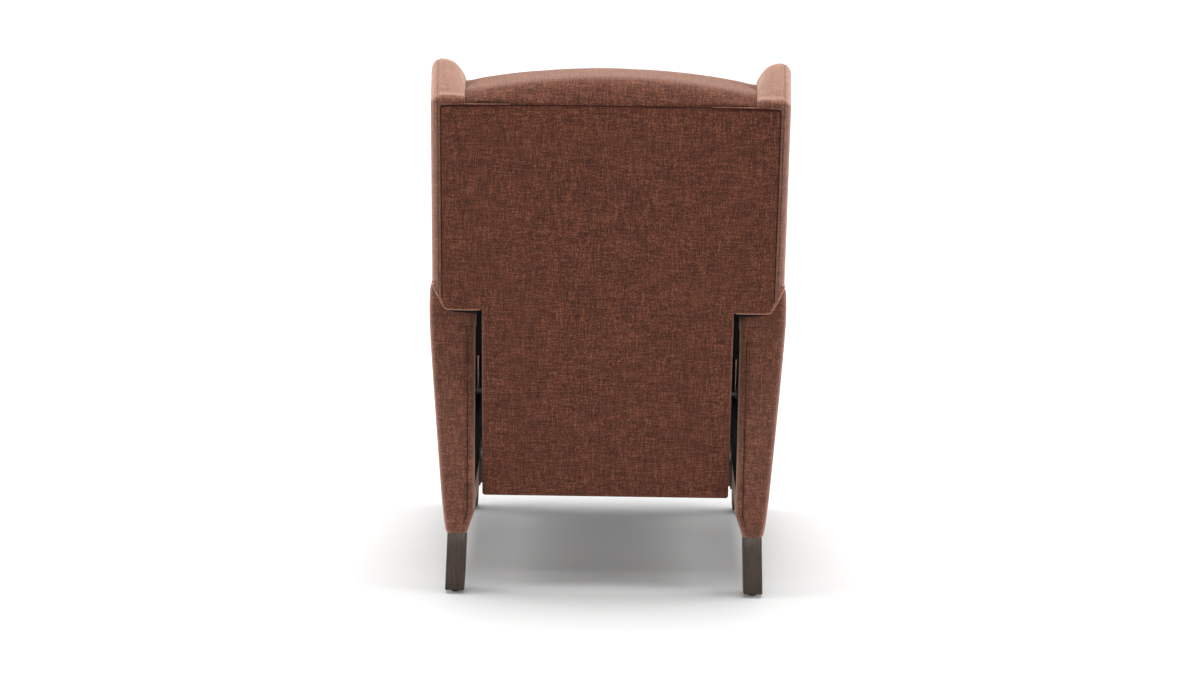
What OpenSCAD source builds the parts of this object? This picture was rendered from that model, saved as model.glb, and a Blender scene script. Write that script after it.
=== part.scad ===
// Push-back wing recliner, closed. The sitter faces -Y and the floor is z = 0.
// The origin lies on the floor, in the middle of the closed chair.

/* [Arms] */
// Clear width between the two arms
arm_gap = 517; // [480:1:560]
// Length of an arm, front to back
arm_length = 680; // [620:1:740]
// Height of the top of the arm above the floor
arm_top = 648; // [600:1:700]
// Height of the underside of the arm
arm_bottom = 126; // [100:1:150]
// Widest thickness of an arm, near its top
arm_thick = 90.5; // [80:0.5:110]
// Thickness of the arm where it leaves the flat underside
arm_waist = 60.5; // [56:0.5:66]
// Width of the flat underside of an arm
arm_foot = 40; // [40:1:44]
// Height of the slope along the lower inside edge of the arm
arm_slope = 43; // [36:1:60]
// Radius of the outer top edge of the arm
arm_edge = 32; // [20:1:40]
// Radius of its inner top edge
inner_edge = 20; // [14:1:26]
// Depth below the top at which the arm is widest
arm_shoulder = 86; // [70:1:100]
// Height of the tapering foot of the arm
arm_ankle = 54; // [40:1:60]
// How far the outer side of that foot draws in
ankle_in = 6; // [3:0.5:10]
// Thickness of the wooden panel inside an arm
arm_board = 20; // [15:1:25]
// Padding over the ends and edges of the wooden panel
arm_pad = 16; // [10:1:30]

/* [Legs] */
// Width of a leg, seen from behind
leg_w = 38; // [30:1:40]
// Depth of a leg, front to back
leg_d = 50; // [40:1:60]
// How far the foot of a leg stands out from its top
leg_splay = 4.5; // [0:0.5:10]
// How far a leg stands in from the end of its arm
leg_inset = 4; // [0:1:20]
// Diameter of the plastic glide
glide_d = 18; // [14:1:28]
// Thickness of the plastic glide
glide_t = 8; // [5:1:12]
// Diameter of the bolts of the legs and plates
bolt_d = 8; // [6:1:10]
// Length of a leg bolt in the leg
leg_bolt_down = 50; // [35:1:60]
// Length of a leg bolt in the arm
leg_bolt_up = 60; // [40:1:80]

/* [Base frame] */
// Distance of the rear cross rail from the rear of the arms
rear_rail_w = 235; // [225:1:245]
// Distance of the front cross rail behind the pivot of link A
front_rail_back = 170; // [168:1:180]
// Height of the lower edge of the base plates
base_z0 = 165; // [160:1:170]
// Height of the cross rails above that edge
rail_lift = 3; // [0:1:6]
// Height of the base plates above the lower pivots
plate_rise = 18; // [15:1:20]
// Length of a base plate beyond its last pivot or rail
plate_end = 36; // [30:1:40]

/* [Back] */
// Lean of the back from upright, in degrees
back_tilt = 10; // [6:0.5:14]
// Height at which the back widens, at its rear face
shelf_z = 589; // [560:1:600]
// How far that edge lies behind the arms
shelf_behind = 46; // [40:1:60]
// Length of the narrow part, down from where the back widens
narrow_drop = 396; // [360:1:410]
// Half width of the narrow part
narrow_half = 244; // [242:1:250]
// Length of the wooden frame above the point where the back widens
frame_rise = 414; // [380:1:440]
// Half width of the padded rear panel of the wide part
panel_half = 320; // [310:1:330]
// Thickness of the rear panel
panel_t = 8; // [5:1:10]
// Thickness of the cross rails of the back
rail_t = 22; // [18:1:28]
// Height of the cross rails of the back
rail_h = 44; // [35:1:60]
// Width and depth of a back post
post_w = 25; // [20:1:30]
// Corner radius of the lower edge of the wide part
panel_corner = 8; // [4:1:12]
// Distance of the upper bolt of the back bracket behind the recline pivot
bracket_back = 74; // [70:1:78]
// Height of that bolt above the pivot
bracket_rise = 50; // [46:1:54]
// Distance of the lower bolt behind the pivot
bracket_low_back = 50; // [46:1:54]
// Depth of that bolt below the pivot
bracket_drop = 90; // [84:1:94]

/* [Wings] */
// Half width over the two wings
wing_half = 340; // [335:1:346]
// Thickness of a wing
wing_thick = 64; // [58:1:75]
// Depth of a wing, from the rear face of the back
wing_depth = 205; // [180:1:220]
// Length of the wing above the point where the back widens, at its crest
wing_rise = 460; // [444:1:480]
// The same at the rear edge of its top
wing_rear_rise = 434; // [424:1:442]
// Height of the lower edge of the wing, level with the arm
wing_lift = 30; // [24:1:40]
// Thickness of the wooden board inside a wing
wing_board = 22; // [15:1:25]
// Radius of the upper front corner of a wing
wing_corner = 60; // [30:1:80]
// Radius of the top rear corner of a wing
wing_rear_corner = 14; // [10:1:24]
// Radius of the lower front corner of a wing
wing_toe = 14; // [8:1:20]
// How far the front of a wing leans out, at its inner face
wing_splay_in = 6; // [0:1:10]
// How far the front of a wing leans out, at its outer face
wing_splay_out = 9; // [0:1:14]
// How far the edges of a wing are rounded off
wing_soft = 9; // [5:0.5:12]
// How much lower the inner top edge of a wing lies than its crest, at the front
wing_round = 50; // [34:1:54]
// Width of the cut across the lower outer corner of a wing
cut_w = 24; // [20:1:28]
// Height of that cut
cut_z = 46; // [38:1:50]

/* [Cushions] */
// Height of the underside of the seat cushion
seat_z = 386; // [380:1:400]
// Thickness of the seat cushion at its edge
seat_t = 104; // [90:1:130]
// Rise of the middle of the seat cushion
seat_crown = 12; // [0:1:25]
// Distance of the rear edge of the seat cushion from the rear of the arms
seat_back_w = 150; // [146:1:170]
// How far the seat and footrest stand out past the arms
seat_nose = 20; // [0:1:40]
// Thickness of the inside back cushion
back_pad = 102; // [80:1:120]
// Depth of the lower edge of the inside back below where the back widens
pad_drop = 117; // [110:1:120]
// How far the ends of a cushion draw in
pad_draw = 8; // [4:1:12]
// Depth of the sewn channels of the inside back
channel_in = 13; // [0:1:20]
// Rise of the head roll above the frame
roll_rise = 52; // [46:1:60]
// How much lower the front of the head roll lies than its rear
roll_slope = 7; // [0:1:12]
// Drop of the head roll from its middle to the wings
roll_drop = 27; // [15:1:40]
// Length of the head roll down the front of the back
roll_front = 118; // [90:1:150]
// Clear space between a cushion and its neighbours
pad_gap = 0.3; // [0.2:0.1:1]
// Clear space between a moving cushion and an arm
side_gap = 1.5; // [1:0.5:4]

/* [Footrest] */
// Thickness of the footrest board
board_t = 15; // [12:1:20]
// Height of the lower edge of the footrest
foot_z0 = 190; // [180:1:210]
// Height of the upper edge of the footrest
foot_z1 = 378; // [360:1:382]
// Thickness of the footrest cushion
foot_pad = 48; // [35:1:60]
// Margin of the board inside the edge of its cushion
board_margin = 6; // [2:1:15]

/* [Seat frame] */
// Thickness of the wooden seat rails
seat_rail_t = 22; // [18:1:28]
// Height of the wooden seat rails
seat_rail_h = 80; // [60:1:85]
// Diameter of the spring wire
wire_d = 4; // [3:0.5:5]
// Number of sinuous springs in the seat
seat_wires = 5; // [3:1:6]
// Number of bends in a seat spring
seat_bends = 10; // [6:1:12]
// Half width of the bends of a spring
spring_half = 22; // [15:1:28]
// Number of sinuous springs in the back
back_wires = 4; // [3:1:5]
// Number of bends in a back spring
back_bends = 8; // [6:1:10]

// Clear space between the side rails and the nearest plate
rail_space = 3.5; // [2.5:0.5:4]
// How far the seat cushion reaches behind the seat frame
seat_overlap = 15; // [10:1:20]
// Clear space between the seat frame and the footrest board
board_space = 5; // [4:0.5:7]

/* [Steelwork] */
// Thickness of the steel plates and links
plate_t = 3; // [2.5:0.5:4]
// Clear space between two neighbouring plates
lane_gap = 2; // [1.6:0.1:3]
// Diameter of the pivot pins
pin_d = 10; // [8:1:11]
// Radial clearance of a pin in its bore
pin_play = 0.05; // [0.03:0.01:0.1]
// Diameter of the rivet heads
head_d = 16; // [14:1:18]
// Thickness of the rivet heads
head_t = 1; // [0.6:0.1:1.2]
// Clear space under a rivet head
head_gap = 0.2; // [0.1:0.1:0.3]
// Half width of the steel links
link_half = 8; // [6:0.5:9]
// Radius of the ends of the steel links
link_end = 11; // [10:0.5:12]
// Radius of the ends of the lower swing levers
lever_end = 9; // [9:0.5:10]
// Diameter of the cross tube
tube_d = 22; // [16:1:26]
// Wall of the cross tube
tube_wall = 2; // [1.5:0.5:3]
// Thickness of the wooden cross rails of the base
base_rail_t = 22; // [18:1:28]
// Height of the wooden cross rails of the base
base_rail_h = 44; // [35:1:46]
// Length of one leg of a corner bracket
corner_leg = 28; // [20:1:40]

/* [Swing links] */
// Length of the swing links between their pivots
swing_length = 120; // [110:1:125]
// Lean of the swing links at rest, in degrees
swing_lean = 20; // [15:0.5:25]
// Height of the lower pivots of the swing links
swing_z = 230; // [226:1:240]
// Distance of the front lower pivot from the rear of the arms
swing_front_w = 420; // [410:1:425]
// Distance of the rear lower pivot from the rear of the arms
swing_rear_w = 290; // [280:1:300]
// Length of the lever on the rear swing link
lever_length = 34; // [28:1:35]
// Direction of that lever, in degrees from the front
lever_angle = 113; // [105:1:118]

/* [Recline pivot] */
// Distance of the recline pivot from the rear of the arms
pivot_w = 90; // [84:1:96]
// Height of the recline pivot
pivot_z = 430; // [424:1:436]
// Distance from the pivot to the pin of the short rod
short_pin_r = 34; // [32:1:38]
// Direction of that pin, in degrees from the front
short_pin_angle = -122; // [-128:1:-118]
// Distance from the pivot to the pin of the long rod
long_pin_r = 100; // [92:1:104]
// Direction of that pin, in degrees from the front
long_pin_angle = -100; // [-102:1:-96]

/* [Footrest links] */
// Distance of the pivot of link A behind the footrest board
link_a_back = 51; // [47:1:56]
// Height of the pivot of link A
link_a_z = 350; // [346:1:354]
// Distance of the pivot of link B behind the footrest board
link_b_back = 22; // [19:1:24]
// Height of the pivot of link B
link_b_z = 368; // [366:1:370]
// Length of link A
link_a_length = 192; // [188:1:196]
// Length of link B up to link C
link_b_length = 192.5; // [189:0.5:196]
// Length of link B from link C to link D
link_b_tail = 27; // [26:1:30]
// Length of link C from link B to the footrest
link_c_length = 165; // [160:1:168]
// Direction of links A and B at rest, in degrees from the front
link_angle = -133; // [-136:1:-131]
// Length of the short lever of link A, for the long rod
crank_length = 27; // [26:1:32]
// Angle between that lever and link A, in degrees
crank_angle = -8; // [-10:1:-6]
// Distance between the two footrest pins
foot_pin_gap = 30; // [28:1:36]
// Direction from the upper to the lower footrest pin, in degrees
foot_pin_angle = -132; // [-135:1:-130]

/* [Hidden] */
$fn = 48;

arm_in = arm_gap / 2;
arm_out = arm_in + arm_thick;
board_x = arm_in + (arm_waist - arm_board) / 2 + 4;
board_mid = board_x + arm_board / 2;

// Depth of the closed chair, and where the rear of the arms lies in it
roll_r4 = 0.4 * back_pad;
back_lean = max((wing_rear_rise - wing_rear_corner) * sin(back_tilt),
    (frame_rise + roll_rise - roll_r4) * sin(back_tilt) + roll_r4 * (1 - cos(back_tilt)));
rear_y = (arm_length + seat_nose - shelf_behind - back_lean) / 2;
front_w = arm_length + seat_nose;
board_w = front_w - foot_pad - board_t;

// A point from its distance in front of the rear of the arms, and its height
function at(w, z) = [rear_y - w, z];
// The point at a length and a direction from another point, in degrees from the front
function from(p, length, angle) = [p[0] - length * cos(angle), p[1] + length * sin(angle)];
function gap_of(p, q) = norm(q - p);
function angle_of(p, q) = atan2(q[1] - p[1], p[0] - q[0]);
// Outer and inner faces of the lanes that the plates lie in, counted inwards from the arm
function lane_out(i) = arm_in - i * (plate_t + lane_gap);
function lane_in(i) = lane_out(i) - plate_t;
function arc(c, r, a0, a1, n) = [for (i = [0:n]) let (a = a0 + (a1 - a0) * i / n)
    [c[0] + r * cos(a), c[1] + r * sin(a)]];

// Pivots at rest
swing_front = at(swing_front_w, swing_z);
swing_rear = at(swing_rear_w, swing_z);
seat_front_pin = from(swing_front, swing_length, 90 + swing_lean);
seat_rear_pin = from(swing_rear, swing_length, 90 + swing_lean);
lever_pin = from(seat_rear_pin, lever_length, lever_angle);
recline_pin = at(pivot_w, pivot_z);
short_pin = from(recline_pin, short_pin_r, short_pin_angle);
long_pin = from(recline_pin, long_pin_r, long_pin_angle);
a_pin = at(board_w - link_a_back, link_a_z);
b_pin = at(board_w - link_b_back, link_b_z);
a_end = from(a_pin, link_a_length, link_angle);
crank_pin = from(a_pin, crank_length, link_angle + crank_angle);
b_mid = from(b_pin, link_b_length, link_angle);
b_end = from(b_pin, link_b_length + link_b_tail, link_angle);
c_end = from(b_mid, link_c_length, angle_of(a_end, b_mid));
foot_pin = from(c_end, foot_pin_gap, foot_pin_angle);

// Places along the base and the seat
front_rail_w = board_w - link_a_back - front_rail_back;
rail_z0 = base_z0 + rail_lift;
base_top = swing_z + plate_rise;
seat_rail_out = lane_in(6) - rail_space;
seat_rail_in = seat_rail_out - seat_rail_t;
seat_top = seat_z - plate_t;
seat_rear_w = seat_back_w + seat_overlap;
seat_end_w = board_w - board_space;
plate_low = seat_rear_pin[1] - link_end - head_d / 8;
spring_z = seat_top - 2 * wire_d;

// The back's own frame: x, then forward from its rear face, then up from where it widens
frame_z = -narrow_drop + 4;
post_y0 = panel_t + rail_t;
post_front = post_y0 + post_w;
pad_front = post_front + back_pad;
post_out = lane_in(3);
wing_in = wing_half - wing_thick;
wing_board_x = wing_half - cut_w - wing_board;
step_y = shelf_behind - pad_draw / 2;
step_z = (arm_top + wing_lift - shelf_z) / cos(back_tilt);
corner_rise = 2.5 * panel_corner;
roll_low = frame_rise - roll_front;

module on_back() {
    translate([0, rear_y + shelf_behind, shelf_z]) rotate([-back_tilt, 0, 0]) children();
}

module mirrored() mirror([1, 0, 0]) children();

module both() {
    children();
    mirrored() children();
}

// A flat plate in a lane, from an outline of y and z
module plate(lane) {
    translate([lane_in(lane), 0, 0]) rotate([90, 0, 90]) linear_extrude(plate_t) children();
}

// A round bar along x between two places
module rod_x(p, x0, x1, d) {
    translate([x0, p[0], p[1]]) rotate([0, 90, 0]) cylinder(h = x1 - x0, d = d);
}

module bore(p) rod_x(p, 0, arm_out, pin_d + 2 * pin_play);

// A pin fixed in one plate and riveted over the inner face of another
module pin_inwards(p, from_x, last_lane) {
    x = lane_in(last_lane) - head_gap;
    rod_x(p, x - head_t, from_x, pin_d);
    rod_x(p, x - head_t, x, head_d);
}

// A pin fixed in one plate and riveted over the outer face of another
module pin_outwards(p, from_x, last_lane) {
    x = lane_out(last_lane) + head_gap;
    rod_x(p, from_x, x + head_t, pin_d);
    rod_x(p, x, x + head_t, head_d);
}

// A straight link with round ends, as an outline of y and z
module link_shape(p, q, half = link_half, end = link_end) {
    translate(p) circle(end);
    translate(q) circle(end);
    translate(p) rotate(atan2(q[1] - p[1], q[0] - p[0])) translate([0, -half])
        square([gap_of(p, q), 2 * half]);
}

// A closed skin through rings with the same number of points
module skin(rings) {
    n = len(rings[0]);
    last = len(rings) - 1;
    polyhedron(
        points = [for (ring = rings) each ring],
        faces = concat(
            [for (i = [0:last - 1]) for (j = [0:n - 1]) [i * n + j, (i + 1) * n + j, i * n + (j + 1) % n]],
            [for (i = [0:last - 1]) for (j = [0:n - 1])
                [i * n + (j + 1) % n, (i + 1) * n + j, (i + 1) * n + (j + 1) % n]],
            [for (j = [1:n - 2]) [0, j, j + 1]],
            [for (j = [1:n - 2]) [last * n, last * n + j + 1, last * n + j]]),
        convexity = 6);
}

function soft(c, p) = sign(c) * pow(abs(c), 2 / p);
// How far an end ring draws in, from the middle (0) to the end (1) of a cushion
function draw_in(s, depth) = depth * pow(abs(s), 14);
// Places along a cushion, closer together near its ends
spread = [-1, -0.985, -0.95, -0.88, -0.7, -0.45, -0.2, 0, 0.2, 0.45, 0.7, 0.88, 0.95, 0.985, 1];
outline_steps = 28;

module cushion(half, y0, y1, z0, z1, crown, draw) {
    skin([for (s = spread) let (
            in = draw_in(s, draw),
            top = z1 + crown * (1 - s * s) - in,
            a = (y1 - y0) / 2 - in, b = (top - z0) / 2)
        [for (i = [0:outline_steps - 1]) let (t = 360 * i / outline_steps)
            [s * half, (y0 + y1) / 2 + a * soft(cos(t), 7), z0 + b + b * soft(sin(t), 5)]]]);
}

// Half the arm's outline as x and z, from the inner bottom edge round to the inner top
arm_outline = concat(
    [[arm_in + arm_waist - arm_foot - ankle_in, arm_bottom],
     [arm_in + arm_waist - ankle_in, arm_bottom],
     [arm_in + arm_waist, arm_bottom + arm_ankle], [arm_out, arm_top - arm_shoulder]],
    arc([arm_out - arm_edge, arm_top - arm_edge], arm_edge, 0, 90, 8),
    arc([arm_in + inner_edge, arm_top - inner_edge], inner_edge, 90, 180, 6),
    [[arm_in, arm_bottom + arm_slope]]);

module along_arm(w0, w1) {
    translate([0, rear_y - w0, 0]) rotate([90, 0, 0]) linear_extrude(w1 - w0) children();
}

// Bolts through the base plate into the arm
bolt_margin = plate_end / 2;
base_plate_w0 = rear_rail_w - plate_end + base_rail_t + rail_lift;
base_plate_w1 = max(front_rail_w + base_rail_t, swing_front_w + bolt_margin) + plate_end;
base_bolt_places = [at(base_plate_w0 + bolt_margin, swing_z + 2),
    at((swing_rear_w + swing_front_w) / 2, base_z0 + bolt_margin + bolt_d),
    at(base_plate_w1 - bolt_margin, swing_z + 2)];
base_bolt_in = lane_out(0) - plate_t - head_t;
leg_places = [leg_inset + leg_d / 2, arm_length - leg_inset - leg_d / 2];

module base_bolt_holes(d) {
    for (p = base_bolt_places) rod_x(p, arm_in - plate_t - 1, board_x + arm_board, d);
}

module leg_bolt_holes() {
    for (w = leg_places) translate([board_mid, rear_y - w, arm_bottom - leg_bolt_down])
        cylinder(h = leg_bolt_down + leg_bolt_up, d = bolt_d);
}

module arm_board_shape() {
    translate([board_x, rear_y - arm_length + arm_pad, arm_bottom + arm_pad])
        cube([arm_board, arm_length - 2 * arm_pad, arm_top - arm_bottom - 2 * arm_pad]);
}

module arm_frame() {
    color("burlywood") difference() {
        arm_board_shape();
        base_bolt_holes(bolt_d);
        leg_bolt_holes();
    }
}

module arm_cover() {
    color("sienna") difference() {
        along_arm(0, arm_length) polygon(arm_outline);
        arm_board_shape();
        base_bolt_holes(bolt_d);
        leg_bolt_holes();
    }
}

module leg(w) {
    x = board_mid;
    color([0.23, 0.18, 0.17]) difference() {
        along_arm(w - leg_d / 2, w + leg_d / 2) polygon([[x - leg_w / 2, arm_bottom],
            [x + leg_w / 2, arm_bottom], [x + leg_w / 2 + leg_splay, glide_t],
            [x - leg_w / 2 + leg_splay, glide_t]]);
        leg_bolt_holes();
    }
}

module leg_glides() {
    color([0.06, 0.06, 0.06]) both() for (w = leg_places)
        translate([board_mid + leg_splay, rear_y - w, 0]) cylinder(h = glide_t, d = glide_d);
}

module leg_bolts() {
    color("silver") both() leg_bolt_holes();
}

module base_rail(w0) {
    color("burlywood") translate([-lane_in(0), rear_y - w0 - base_rail_t, rail_z0])
        cube([2 * lane_in(0), base_rail_t, base_rail_h]);
}

module base_plate() {
    color([0.2, 0.2, 0.21]) difference() {
        union() {
            plate(0) polygon([at(base_plate_w0, base_z0), at(base_plate_w1, base_z0),
                at(base_plate_w1, base_top), at(base_plate_w0, base_top)]);
            for (p = [swing_front, swing_rear]) pin_inwards(p, lane_in(0) + 1, 1);
        }
        base_bolt_holes(bolt_d);
    }
}

module base_bolts() {
    color("silver") both() {
        for (p = base_bolt_places) {
            rod_x(p, base_bolt_in, board_x + arm_board, bolt_d);
            rod_x(p, base_bolt_in, lane_in(0), 2 * bolt_d);
        }
    }
}

// One corner bracket, on the face of a cross rail that looks to the middle of the base
module corner_bracket(w, forward) {
    x = lane_in(0);
    y = rear_y - w;
    turn = forward ? -1 : 1;
    for (size = [[corner_leg, plate_t], [plate_t, corner_leg]])
        translate([x - size[0], turn < 0 ? y - size[1] : y, rail_z0 + 4])
            cube([size[0], size[1], base_rail_h - 8]);
}

module rail_brackets() {
    color([0.2, 0.2, 0.21]) both() {
        corner_bracket(rear_rail_w + base_rail_t, true);
        corner_bracket(front_rail_w, false);
    }
}

module swing_link(low, high, tube) {
    middle = (low + high) / 2;
    color([0.25, 0.25, 0.26]) difference() {
        plate(1) {
            link_shape(low, high);
            if (tube) translate(middle) circle(d = tube_d + 8);
            else link_shape(high, lever_pin, 6, lever_end);
        }
        bore(low);
        bore(high);
        if (tube) rod_x(middle, lane_in(1), lane_in(1) + plate_t, tube_d);
    }
}

module front_link() swing_link(swing_front, seat_front_pin, true);

module rear_link() {
    swing_link(swing_rear, seat_rear_pin, false);
    color([0.25, 0.25, 0.26]) rod_x(lever_pin, lane_out(1) - 1, lane_out(1) + 1, pin_d);
}

module cross_tube() {
    middle = (swing_front + seat_front_pin) / 2;
    color([0.25, 0.25, 0.26]) difference() {
        rod_x(middle, -lane_out(1), lane_out(1), tube_d);
        rod_x(middle, -lane_out(1) - 1, lane_out(1) + 1, tube_d - 2 * tube_wall);
    }
}

module seat_plate() {
    neck_foot = at(pivot_w + 60, seat_rear_pin[1] + 2);
    color([0.2, 0.2, 0.21]) difference() {
        union() {
            plate(2) {
                polygon([at(seat_rear_w - 18, plate_low), at(seat_end_w, plate_low),
                    at(seat_end_w, seat_top), at(seat_rear_w - 10, seat_top)]);
                link_shape(recline_pin, neck_foot, 11, 15);
            }
            translate([seat_rail_in, rear_y - seat_end_w, seat_top])
                cube([lane_out(2) - seat_rail_in, seat_end_w - seat_rear_w, plate_t]);
            for (p = [seat_front_pin, seat_rear_pin]) pin_outwards(p, lane_out(2) - 1, 1);
            pin_inwards(recline_pin, lane_in(2) + 1, 3);
            pin_inwards(a_pin, lane_in(2) + 1, 3);
            pin_inwards(b_pin, lane_in(2) + 1, 5);
            rod_x(b_pin, lane_out(5) + head_gap, lane_in(2) + 1, head_d);
        }
    }
}

module seat_side_rail() {
    color("burlywood") translate([seat_rail_in, rear_y - seat_end_w, seat_top - seat_rail_h])
        cube([seat_rail_t, seat_end_w - seat_rear_w, seat_rail_h]);
}

module seat_cross_rail(w) {
    color("burlywood") translate([-seat_rail_in, rear_y - w - seat_rail_t, seat_top - seat_rail_h])
        cube([2 * seat_rail_in, seat_rail_t, seat_rail_h]);
}

// A sinuous spring along +x from the origin, with its bends in the xy plane
bend_steps = 4;
wire_sides = 6;
wire_end = 2 * wire_d;

function wire_path(length, half, bends) = let (
        run = length - 2 * wire_end,
        count = bends * bend_steps)
    concat([[0, 0], [wire_end / 2, 0]],
        [for (i = [0:count]) [wire_end + run * i / count, half * sin(180 * i / bend_steps)
            * min(1, 3 * i / count, 3 * (count - i) / count)]],
        [[length - wire_end / 2, 0], [length, 0]]);

module wire(length, half, bends) {
    path = wire_path(length, half, bends);
    last = len(path) - 1;
    skin([for (k = [0:last]) let (
            along = k == 0 || k == last ? [1, 0] : path[k + 1] - path[k - 1],
            side = [-along[1], along[0]] / norm(along))
        [for (j = [0:wire_sides - 1]) let (t = 360 * j / wire_sides, r = wire_d / 2)
            [path[k][0] + side[0] * r * cos(t), path[k][1] + side[1] * r * cos(t), r * sin(t)]]]);
}

// Least clear distance between points of the wire that lie more than one bend apart
function wire_gap(path) = min([for (i = [0:len(path) - 1])
    for (j = [i + bend_steps:1:len(path) - 1]) norm(path[i] - path[j])]) - wire_d;

clip_t = 6;
wire_low = 6;
seat_wire_length = seat_end_w - seat_rear_w - 2 * seat_rail_t - 2 * clip_t;
back_wire_length = frame_rise - 2 * rail_h - wire_low;
echo(seat_wire_gap = wire_gap(wire_path(seat_wire_length, spring_half, seat_bends)));
echo(back_wire_gap = wire_gap(wire_path(back_wire_length, spring_half, back_bends)));

seat_wire_places = [for (i = [0:seat_wires - 1])
    (i - (seat_wires - 1) / 2) * 2 * seat_rail_in / seat_wires];
back_wire_places = [for (i = [0:back_wires - 1])
    (i - (back_wires - 1) / 2) * 2 * (post_out - post_w) / back_wires];

module seat_springs() {
    color("dimgray") for (x = seat_wire_places)
        translate([x, rear_y - seat_rear_w - seat_rail_t - clip_t, spring_z]) rotate(-90)
            wire(seat_wire_length, spring_half, seat_bends);
}

module spring_clips() {
    color("silver") for (x = seat_wire_places) for (w = [seat_rear_w + seat_rail_t,
            seat_end_w - seat_rail_t - clip_t])
        translate([x - 7, rear_y - w - clip_t, spring_z - 6]) cube([14, clip_t, 12]);
}

module seat_deck() {
    color("black") translate([-seat_rail_in, rear_y - seat_end_w, seat_top])
        cube([2 * seat_rail_in, seat_end_w - seat_rear_w, plate_t]);
}

module seat_cushion() {
    color("chocolate") cushion(arm_in - side_gap, rear_y - front_w, rear_y - seat_back_w,
        seat_z, seat_z + seat_t, seat_crown, channel_in + 1);
}

// Fixing points of the back bracket on the post
bracket_places = [at(pivot_w - bracket_back, pivot_z + bracket_rise),
    at(pivot_w - bracket_low_back, pivot_z - bracket_drop)];

module back_bolt_holes() {
    for (p = bracket_places) rod_x(p, post_out - post_w, lane_out(3), bolt_d);
}

module back_bracket() {
    color([0.2, 0.2, 0.21]) difference() {
        union() {
            plate(3) {
                polygon([recline_pin, long_pin, bracket_places[1], bracket_places[0]]);
                for (p = [recline_pin, long_pin]) translate(p) circle(14);
                for (p = bracket_places) translate(p) circle(13);
            }
            rod_x(short_pin, lane_out(3) - 1, arm_in - 0.5, pin_d);
            pin_inwards(long_pin, lane_in(3) + 1, 4);
        }
        bore(recline_pin);
        back_bolt_holes();
    }
}

module back_bolts() {
    color("silver") both() for (p = bracket_places) {
        rod_x(p, post_out - post_w, lane_out(3) + head_t, bolt_d);
        rod_x(p, lane_out(3), lane_out(3) + head_t, 2 * bolt_d);
    }
}

module back_post() {
    color("burlywood") difference() {
        on_back() translate([post_out - post_w, -post_front, frame_z])
            cube([post_w, post_w, frame_rise - frame_z]);
        back_bolt_holes();
    }
}

module back_rail(half, z) {
    translate([-half, -panel_t - rail_t, z]) cube([2 * half, rail_t, rail_h]);
}

// The board inside a wing; a pocket reaches into the cuts beside it
module wing_board_shape(reach = 0) {
    y0 = -panel_t + reach;
    top = frame_rise - 1 + reach;
    translate([wing_board_x, 0, 0]) rotate([90, 0, 90]) linear_extrude(wing_board)
        polygon([[y0, panel_t], [-step_y + wing_soft, panel_t],
            [-step_y + wing_soft, step_z + panel_t], [-wing_depth + wing_corner, step_z + panel_t],
            [-wing_depth + wing_corner, top], [y0, top]]);
}

module wing_frame() {
    color("burlywood") on_back() wing_board_shape();
}

// Outline of a wing as y and z in the back's frame, starting at its inside corner
slope_z = step_z - (wing_depth - step_y) * tan(back_tilt);
toe_z = slope_z + 1.9 * wing_toe;
top_run = wing_depth - wing_corner - wing_rear_corner;
top_slope = atan2(wing_rise - wing_rear_rise, top_run);
wing_outline = concat(
    [[-step_y, step_z]], [[-(step_y + wing_depth) / 2, (step_z + slope_z) / 2 - 2]],
    arc([-wing_depth + wing_toe, toe_z], wing_toe, 270, 180, 4),
    [for (i = [1:5]) [-wing_depth, toe_z + (wing_rise - wing_corner - toe_z) * i / 6]],
    arc([-wing_depth + wing_corner, wing_rise - wing_corner], wing_corner, 180, 90, 8),
    [for (i = [1:3]) [-wing_rear_corner - top_run * (1 - i / 4),
        wing_rear_rise + (wing_rise - wing_rear_rise) * (1 - i / 4)]],
    arc([-wing_rear_corner, wing_rear_rise - wing_rear_corner], wing_rear_corner, 90 + top_slope, 0, 4),
    [for (i = [1:5]) [0, (wing_rear_rise - wing_rear_corner) * (1 - i / 6)]],
    [[0, 0], [-step_y, 0]]);
// Places across a wing, with the shares of its soft edge and of its round top at each
wing_layers = [[1, 1, 0.25], [0.94, 0.4, 0.08], [0.75, 0, 0], [0.5, 0, 0.07], [0.28, 0, 0.34],
    [0.1, 0.4, 0.72], [0, 1, 0.9]];

module wing_skin() {
    skin([for (layer = wing_layers) [for (p = wing_outline) let (
            k = wing_soft * layer[1],
            high = max(0, (p[1] - wing_rise + wing_corner) / wing_corner),
            fore = pow(min(1, -p[0] / (wing_depth - wing_corner)), 1.3),
            y = p[0] + k * (p[0] < -step_y ? 1 : -max(0, 1 + p[0] / wing_rear_corner)),
            z = p[1] - (k + wing_round * layer[2] * fore) * high + (p[1] < 1 ? k : 0))
        [wing_in + wing_thick * layer[0] - y / wing_depth * (wing_splay_in
            + (wing_splay_out - wing_splay_in) * layer[0]), y, z]]]);
}

// A place on a cushion between the wings, moved out as their inner faces lean out
function splayed(x, y) = x * (1 - wing_splay_in * y / (wing_depth * wing_in));

module wing_cover() {
    reach = 0.5;
    cut_out = wing_splay_out * step_y / wing_depth + 1;
    low = -cut_z - cut_z / cut_w;
    color("sienna") on_back() difference() {
        wing_skin();
        wing_board_shape(reach);
        for (z = [wire_low, frame_rise - rail_h])
            translate([0, -panel_t - rail_t, z - reach])
                cube([wing_board_x + 1, rail_t + reach, rail_h + 2 * reach]);
        translate([0, -panel_t, -panel_t]) cube([panel_half, 2 * panel_t, frame_rise + panel_t]);
        translate([wing_half, 1, cut_z]) rotate([90, 0, 0]) linear_extrude(wing_depth)
            polygon([[cut_out, cut_out * cut_z / cut_w], [-cut_w - 1, low], [cut_out, low]]);
    }
}

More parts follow.
